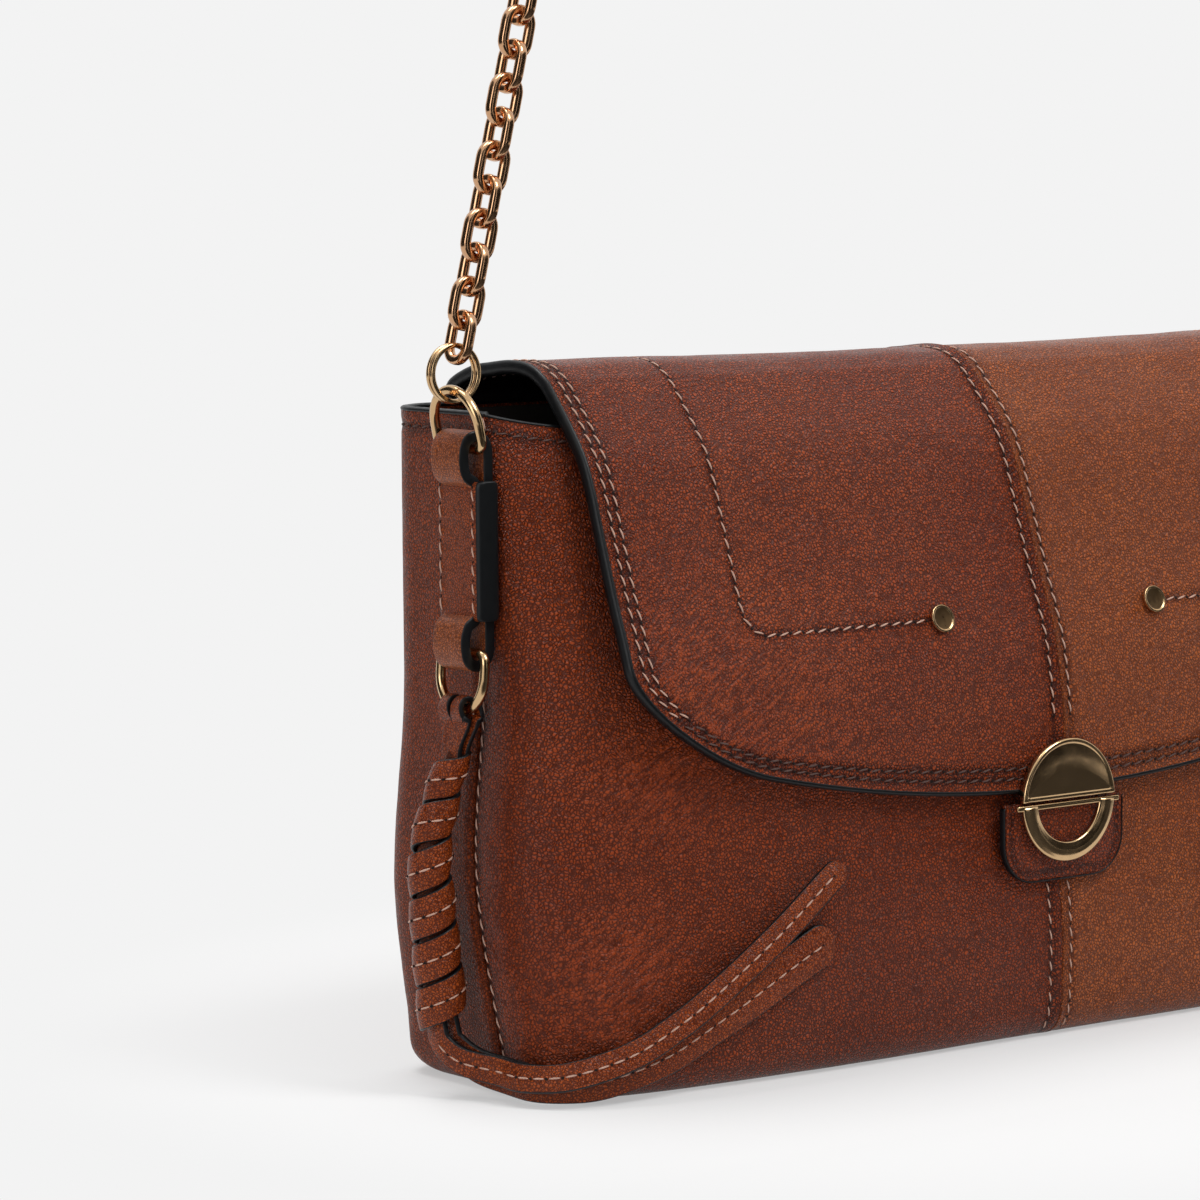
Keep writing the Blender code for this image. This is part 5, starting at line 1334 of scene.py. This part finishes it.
def tassel_stem(side, sign):
    body = "tassel_" + side
    run, along, across, other = stem_line(sign)
    core = wrap_radius(np.linspace(0, 1, len(run))) - WRAP_THICKNESS - CORE_CLEAR
    line = [values[:CORE_POINTS] for values in (run, across, other, core, core)]
    # The core shows in the gaps between turns, painted darker as shade.
    piece = rolled("lace_core_" + side, *line, LACE_IN_SHADE)
    dress(piece, body, "lace_leather", "tassel_stem_" + side)

    length = distances(run)[-1]
    width = length / (WRAP_TURNS + 1) - WRAP_GAP
    share = np.linspace(0, 1, round(WRAP_TURNS * 40) + 1)
    middle = width / 2 + (length - width) * share
    angle = (0 if sign < 0 else math.pi) - sign * (WRAP_START + 2 * math.pi * WRAP_TURNS * share)
    turned = (at_distance(run, middle, values) for values in (run, along, across, other))
    centre, wide, across, other = turned
    out = unit(np.cos(angle)[:, None] * across + np.sin(angle)[:, None] * other)
    centre = centre + out * (wrap_radius(middle / length) - WRAP_THICKNESS / 2)[:, None]
    sizes = (width + WRAP_GAP - VISIBLE_GAP) / 2, WRAP_THICKNESS / 2, LACE_ROUND
    piece = strap("wound_lace_" + side, centre, unit(wide), out, *sizes, LACE_LOOKS, LACE_CROWN)
    dress(piece, body, "lace_leather", "tassel_wrap_" + side)
    face = centre + out * (WRAP_THICKNESS / 2 + LACE_CROWN)
    stitch_row("wound_lace_stitches_" + side, face, out, body, THREAD, slant=0)

    bow = lower_bow(sign)
    foot = run[0] - bow
    for number, offset in enumerate((-LOOP_OFFSET, LOOP_OFFSET)):
        lift = RING_HALF_WIDTH - math.sqrt(RING_HALF_WIDTH**2 - offset**2)
        x, z = arc(0, lift, LOOP_RADIUS, LOOP_TURN[0], LOOP_TURN[-1], len(LOOP_TURN)).T
        ring = np.stack([x, offset + LOOP_SWAY * np.sin(LOOP_TURN), z], 1)
        ends = np.array([(0.0012, 0.3 * offset, -0.0035), (0.0012, 0.5 * offset, 0.001)])
        path = np.concatenate([foot + ends, ring, foot + ends[::-1] * (-1, 1, 1)])
        loop = bow + spline(path, 4)
        lean = LOOP_LEAN * np.sin(np.linspace(0, 4 * math.pi, len(loop)))
        wide, out = leaned(*frames_along(loop, (0, 1, 0)), lean)
        label = "%s_%d" % (side, number + 1)
        sizes = *STRAND_SIZES, LACE_LOOKS, STRAND_CROWN
        dress(strap("loop_lace_" + label, loop, wide, out, *sizes), body, "lace_leather")
        face = loop + out * 0.0009
        stitch_row("loop_lace_stitches_" + label, face, out, body, THREAD, slant=0)


for side, sign in SIDES:
    tassel_stem(side, sign)
print("stem length: %.1f mm" % (distances(stem_line(1)[0])[-1] / MM))

# %% Laces along the front
UPPER_LACE = (
    (0.0108, 0.0044, 0.0215), (0.0113, 0.0034, 0.0165), (0.0108, 0.0018, 0.0126),
    (0.0087, -0.0030, 0.0092), (0.0040, -0.0108, 0.0074), (0.0028, -0.0191, 0.0068),
    (-0.0024, -0.0268, 0.0074), (-0.0109, -0.0316, 0.0096), (-0.0195, -0.0343, 0.0126),
    (-0.0282, -0.0361, 0.0172), (-0.0379, -0.0374, 0.0230), (-0.0580, -0.0382, 0.0361),
    (-0.0746, -0.0376, 0.0478), (-0.0796, -0.0373, 0.0510),
)
LOWER_LACE = (
    (0.0090, 0.0046, 0.0215), (0.0084, 0.0038, 0.0165), (0.0078, 0.0022, 0.0122),
    (0.0053, -0.0035, 0.0080), (0.0016, -0.0108, 0.0059), (0.0003, -0.0190, 0.0053),
    (-0.0041, -0.0251, 0.0053), (-0.0109, -0.0290, 0.0057), (-0.0201, -0.0319, 0.0078),
    (-0.0299, -0.0338, 0.0111), (-0.0394, -0.0352, 0.0159), (-0.0503, -0.0362, 0.0213),
    (-0.0639, -0.0368, 0.0282), (-0.0768, -0.0368, 0.0340),
)
# Widths, and tilts in degrees, at shares of a lace's length.
UPPER_WIDTHS, UPPER_TILT = ((0, 1), (0.0068, 0.0066)), ((0, 0.3, 1), (0, 20, 24))
LOWER_WIDTHS, LOWER_TILT = ((0, 0.6, 0.85, 1), (0.0088, 0.0092, 0.0108, 0.0108)), ((0, 1), (0, 0))
UPPER_PUSH, UPPER_TIP, LOWER_TIP = 0.0004, 0.0035, 0.0050
LACE_STITCH_LIFT = 0.00035


def body_outward(spots):
    """Level directions away from the body at places beside it."""
    found = []
    for x, y, z in spots:
        z = max(z, BOTTOM_RADIUS)
        reach, seam, deep = side_x(z), seam_y(z), seam_y(z) - front_y(z)
        ahead = (y - seam) / deep if y < seam else 0
        found.append((math.copysign(abs(x / reach) ** 3 / reach, x), -(abs(ahead) ** 3) / deep, 0))
    return unit(np.array(found))


def lace(label, side, sign, path, widths, tilt, push, tip):
    """A flat lace that lies beside the body, rounded off over its tip."""
    line = spline([(sign * (HALF_WIDTH + away), y, z) for away, y, z in path], 8)
    run = even(line, 150)
    left = np.linspace(distances(line)[-1], 0, len(run))
    share = 1 - left / left[0]
    along, away = run_direction(run), body_outward(run)
    wide = unit(np.cross(away, along))
    wide *= np.sign(wide[:, 2:])
    out = np.cross(along, wide)
    out *= np.sign(np.sum(out * away, 1, keepdims=True))
    run = run + out * push
    wide, out = leaned(wide, out, -np.radians(np.interp(share, *tilt)))
    half = np.interp(share, *widths) / 2
    half = half * np.sqrt(np.maximum(1 - np.maximum(1 - left / tip, 0) ** 2, 0.01))
    name, body = "%s_lace_%s" % (label, side), "tassel_" + side
    sizes = half, LACE_THICKNESS / 2, LACE_ROUND
    piece = strap(name, run, wide, out, *sizes, LACE_LOOKS, LACE_CROWN)
    keep = (left > 0.004) & (share > 0.06)
    face = (run + out * (LACE_THICKNESS / 2 + LACE_STITCH_LIFT))[keep]
    stitch_row(name + "_stitches", face, out[keep], body, THREAD, slant=0)
    dress(piece, body, "lace_leather", "lace_tail_%s_%s" % (label, side))


for side, sign in SIDES:
    lace("upper", side, sign, UPPER_LACE, UPPER_WIDTHS, UPPER_TILT, UPPER_PUSH, UPPER_TIP)
    lace("lower", side, sign, LOWER_LACE, LOWER_WIDTHS, LOWER_TILT, 0.0, LOWER_TIP)
print("laces end %.1f mm above the floor" % (UPPER_LACE[-1][2] / MM))

# %% [markdown]
# ## Lock
#
# The lock is a plated disc split in two: a half moon on the flap, with a raised rim, and an
# open C below it on a leather patch, with a thin bar along the split. The half moon is a grid
# whose rows are its outline drawn inward step by step, up the side, over the raised rim and
# into the pressed face. The rivets are short cylinders with an inset, pressed cap, whose
# pressed face is painted a darker gold: painted shade and reflection.

# %% Lock plates
LOCK_RADIUS, LOCK_BAND, LOCK_PLATE = 0.0155, 0.0050, 0.0024
LOCK_SPLIT, LOCK_GAP = FLAP_LOWEST - 0.0030, 0.0006
PATCH_THICKNESS, PATCH_HEIGHT = 0.0020, 0.0200
PLATE_BACK = FLAP_RUN[-1, 0] - AIR
PLATE_FRONT = PLATE_BACK - LOCK_PLATE
PATCH_FRONT = front_y(LOCK_SPLIT - PATCH_HEIGHT) - AIR - PATCH_THICKNESS
C_DEPTH = PATCH_FRONT - AIR - PLATE_FRONT
C_MIDDLE = (PLATE_FRONT + PATCH_FRONT - AIR) / 2
C_END = 0.06
BAR_REACH, BAR_HEIGHT = LOCK_RADIUS + 0.0018, 0.0015

# The half moon's profile: how far inside its outline, and how high above its back.
MOON_RIM_MM = (
    (0.3, 0), (0, 0.3), (0, 1.8), (0.15, 2.15), (0.5, 2.35), (0.9, 2.35), (1.2, 2.2), (1.4, 1.95),
)
MOON_FACE_MM = (1.5, 2.3, 3.4, 4.5, 5.6, 6.6, 7.2, 7.5)
MOON_HEIGHT_MM, MOON_HOLLOW_MM, MOON_SPAN_MM = 2.35, 0.4, 6.1


def bevel_and_smooth(piece, width):
    only(piece)
    bpy.ops.object.modifier_add(type="BEVEL")
    modifier = piece.modifiers[-1]
    modifier.width = width
    modifier.segments = 3
    modifier.limit_method = "ANGLE"
    modifier.angle_limit = math.radians(40)
    bpy.ops.object.modifier_apply(modifier=modifier.name)
    bpy.ops.object.shade_smooth_by_angle(angle=math.radians(35))


def half_disc(inset):
    """The half moon's border, drawn inward by a distance: the arc, then the straight side."""
    reach, low = LOCK_RADIUS - inset, LOCK_GAP / 2 + inset
    start = math.asin(low / reach)
    curve = arc(0, 0, reach, start, math.pi - start, 61)
    end = reach * math.cos(start)
    return np.concatenate([curve, np.linspace((-end, low), (end, low), 31)[1:-1], curve[:1]])


profile = list(MOON_RIM_MM)
for inset in MOON_FACE_MM:
    toward_rim = (MOON_FACE_MM[-1] - inset) / MOON_SPAN_MM
    profile.append((inset, MOON_HEIGHT_MM - MOON_HOLLOW_MM * toward_rim**2))
rows = [np.insert(half_disc(inset * MM), 1, -rise * MM, axis=1) for inset, rise in profile]
points = np.array(rows) + (0, PLATE_BACK, LOCK_SPLIT)
half_moon = bend_grid("half_moon_plate", points, [GOLD], closed=True)
dress(half_moon, "flap", "gold_metal", "lock_upper_plate")

out = np.insert(arc(0, 0, 1, C_END - math.pi, -C_END, 61), 1, 0, axis=1)
run = out * (LOCK_RADIUS - LOCK_BAND / 2) + (0, C_MIDDLE, LOCK_SPLIT)
front = np.tile((0.0, -1, 0), (len(run), 1))
sizes = LOCK_BAND / 2, C_DEPTH / 2 - 0.0002, 0.0007
crescent = strap("c_plate", run, out, front, *sizes, [GOLD], 0.0004)
dress(crescent, "bag", "gold_metal", "lock_lower_plate")

deselect()
bar_z = LOCK_SPLIT - LOCK_GAP / 2 - BAR_HEIGHT / 2
bpy.ops.mesh.primitive_cube_add(size=1, location=(0, C_MIDDLE, bar_z))
bar = bpy.context.object
bar.name = bar.data.name = "split_bar"
bar.scale = (2 * BAR_REACH, C_DEPTH - 0.0008, BAR_HEIGHT)
bpy.ops.object.transform_apply(location=True, scale=True)
bar.data.materials.append(GOLD)
bevel_and_smooth(bar, 0.0005)
dress(bar, "bag", "gold_metal")
print("lock split at %.1f mm" % (LOCK_SPLIT / MM))

# %% Lock patch
PATCH_HALF, PATCH_CORNER = LOCK_RADIUS + 0.0045, 0.0100
PATCH_GROOVE, PATCH_ROUND = 0.00025, 0.0004
low = PATCH_HEIGHT - PATCH_CORNER
corner_x = PATCH_HALF - PATCH_CORNER
border = np.linspace((PATCH_HALF, 0), (PATCH_HALF, low), 14, endpoint=False)
border = np.concatenate([border, arc(corner_x, low, PATCH_CORNER, 0, QUARTER, 16)])
half, fall = border.T[..., None]
share = np.linspace(-1, 1, 61)
rim_distance = np.minimum(half * (1 - np.abs(share)), PATCH_HEIGHT - fall)
groove = bell(rim_distance - 0.0022, 0.0007)
y = PATCH_FRONT + PATCH_GROOVE * groove + PATCH_ROUND * bell(rim_distance, 0.0006)
points = np.stack([half * share, y, LOCK_SPLIT - fall + 0 * share], -1)
# The seam mark paints shade into the groove inside the patch's rim.
marks = {"seam": groove[::-1]}
thickness = PATCH_THICKNESS - PATCH_ROUND
piece = sheet_of("lock_patch_leather", points[::-1], BODY_BROWN, thickness, **marks)
dress(piece, "bag", "leather_tan", "lock_patch")

tops = np.array([(-PATCH_HALF, -0.0008), (-PATCH_HALF, -low), (PATCH_HALF, -0.0008)])
first = arc(-corner_x, -low, PATCH_CORNER, math.pi, 3 * QUARTER, 16)
second = arc(corner_x, -low, PATCH_CORNER, 3 * QUARTER, 2 * math.pi, 16)
border = np.insert(np.concatenate([tops[:2], first, second, tops[2:]]), 1, 0, axis=1)
run = even(border, 120) + (0, PATCH_FRONT + PATCH_THICKNESS / 2, LOCK_SPLIT)
frame_of = frames_along(run, (0, 1, 0))
bead = rolled("lock_patch_paint", run, *frame_of, PATCH_THICKNESS / 2, 0.0003, EDGE_PAINT)
dress(bead, "bag", "leather_tan")
print("lock patch: %.0f mm wide" % (2 * PATCH_HALF / MM))

# %% Rivets and magnets
RIVET_RADIUS, RIVET_CAP = 0.0035, 0.0012
RIVET_RIM, RIVET_PRESS = 0.0005, 0.0002

deselect()
bpy.ops.mesh.primitive_cylinder_add(
    vertices=40, radius=RIVET_RADIUS, depth=RIVET_CAP, location=(0, 0, RIVET_CAP / 2)
)
bpy.ops.object.transform_apply(location=True)
rivet_model = bpy.context.object
rivet_model.data.materials.append(GOLD)
rivet_model.data.materials.append(GOLD_IN_SHADE)
bpy.ops.object.mode_set(mode="EDIT")
bpy.ops.mesh.select_mode(type="FACE")
bpy.ops.mesh.select_all(action="DESELECT")
bpy.ops.object.mode_set(mode="OBJECT")
for face in rivet_model.data.polygons:
    face.select = face.normal.z > 0.9
bpy.ops.object.mode_set(mode="EDIT")
bpy.ops.mesh.inset(thickness=RIVET_RIM)
bpy.ops.mesh.inset(thickness=RIVET_PRESS, depth=-RIVET_PRESS)
# The pressed face takes the darker gold: painted shade and reflection.
rivet_model.active_material_index = 1
bpy.ops.object.material_slot_assign()
bpy.ops.object.mode_set(mode="OBJECT")
bevel_and_smooth(rivet_model, RIVET_PRESS * 0.6)
for side, sign in SIDES:
    (spot,), (out,) = flap_line(np.array([(RIVET_SPREAD, LINE_D)]), sign)
    turn = Vector(out).to_track_quat("Z", "Y").to_matrix().to_4x4()
    rivet = copied(rivet_model, "rivet_cap_" + side, Matrix.Translation(spot + out * PLAY) @ turn)
    dress(rivet, "flap", "gold_metal", "rivet_" + side)
bpy.data.objects.remove(rivet_model)
for name in ("lock_magnet_body", "lock_magnet_flap"):
    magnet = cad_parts[name]
    magnet.data.materials.clear()
    magnet.data.materials.append(STEEL)
print("CAD nodes left showing:", [n for n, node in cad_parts.items() if not node.hide_render])

# %% [markdown]
# ## Floor and light
#
# A plain pale floor and soft light from large lamps, as in a product studio. The floor's own
# shading is kept near the bag, where it holds the shadow, and blends into an even white that
# only the camera and reflections see. The main lamp stands to the front right and above, so
# the left side is the darker one. Four black flags, which are cards that photographers
# hold beside shiny things, show only in reflections. They keep the waxed leather from looking
# milky and give the plating its dark streaks.

# %% Floor and world
WHITE = linear("#f3f3f3")
SHADOW_NEAR, SHADOW_FAR, NEAR_WHITE = 0.14, 0.26, 0.45
WORLD_LIGHT = 0.40


def seen_ray(look):
    """1 for rays that see the scene: from the camera, off a gloss or through glass."""
    rays = add_node(look, "ShaderNodeLightPath").outputs
    seen = math_node(look, "ADD", rays["Is Camera Ray"], rays["Is Glossy Ray"])
    return math_node(look, "ADD", seen, rays["Is Transmission Ray"])


deselect()
bpy.ops.mesh.primitive_plane_add(size=24, location=(0, 6, 0))
floor = bpy.context.object
floor.name = "studio_floor"
look, shader = new_material("matt_studio_floor")
shader.inputs["Base Color"].default_value = WHITE
shader.inputs["Roughness"].default_value = 0.9
glow = add_node(look, "ShaderNodeEmission", {"Color": WHITE, "Strength": 1.0})
spot = add_node(look, "ShaderNodeNewGeometry").outputs["Position"]
away = add_node(look, "ShaderNodeVectorMath", {0: spot}, operation="LENGTH").outputs["Value"]
fade = {"interpolation_type": "SMOOTHSTEP"}
white = map_node(look, away, SHADOW_NEAR, SHADOW_FAR, NEAR_WHITE, 1.0, **fade)
share = math_node(look, "MULTIPLY", seen_ray(look), white)
parts = {0: share, 1: shader.outputs[0], 2: glow.outputs[0]}
mixed = add_node(look, "ShaderNodeMixShader", parts).outputs[0]
look.node_tree.links.new(mixed, look.node_tree.nodes["Material Output"].inputs["Surface"])
floor.data.materials.append(look)

world = bpy.data.worlds.new("studio")
bpy.context.scene.world = world
world.use_nodes = True
background = world.node_tree.nodes["Background"]
background.inputs["Color"].default_value = WHITE
strength = math_node(world, "MULTIPLY_ADD", seen_ray(world), 1 - WORLD_LIGHT, WORLD_LIGHT)
world.node_tree.links.new(strength, background.inputs["Strength"])
print("world light:", WORLD_LIGHT)


# %% Lamps and flags
def aimed(name, place, aim, axis):
    """Names the object that was just added, and turns it toward a point."""
    made = bpy.context.object
    made.name = name
    made.rotation_euler = (Vector(aim) - Vector(place)).to_track_quat(axis, "Y").to_euler()
    return made


def lamp(name, place, aim, size, watts):
    deselect()
    bpy.ops.object.light_add(type="AREA", location=place)
    made = aimed(name, place, aim, "-Z")
    made.data.size = size
    made.data.energy = watts


def flag(name, place, aim, size):
    """A black card that only reflections see."""
    deselect()
    bpy.ops.mesh.primitive_plane_add(size=size, location=place)
    made = aimed(name, place, aim, "Z")
    look, shader = new_material(name + "_black_felt")
    shader.inputs["Base Color"].default_value = linear("#0c0b0b")
    made.data.materials.append(look)
    made.visible_camera = made.visible_diffuse = False
    made.visible_shadow = made.visible_transmission = False


lamp("key_softbox", (0.5, -1.2, 1.8), (-0.05, 0, 0.08), 0.8, 21)
lamp("top_softbox", (-0.2, 0.4, 1.7), (-0.05, 0, 0.1), 0.9, 16)
lamp("side_fill", (-1.8, -0.6, 0.7), (0, 0, 0.1), 0.9, 5)
flag("front_flag", (-0.55, -1.25, 0.30), (-0.05, 0, 0.2), 1.5)
flag("right_flag", (0.85, -1.05, 0.15), (-0.05, 0, 0.1), 1.4)
flag("left_flag", (-1.1, 0.7, 0.3), (-0.1, 0, 0.1), 1.8)
flag("table_flag", (0, -0.80, 0.002), (0, -0.80, 1), 1.4)
print("lamps: 3, flags: 4")
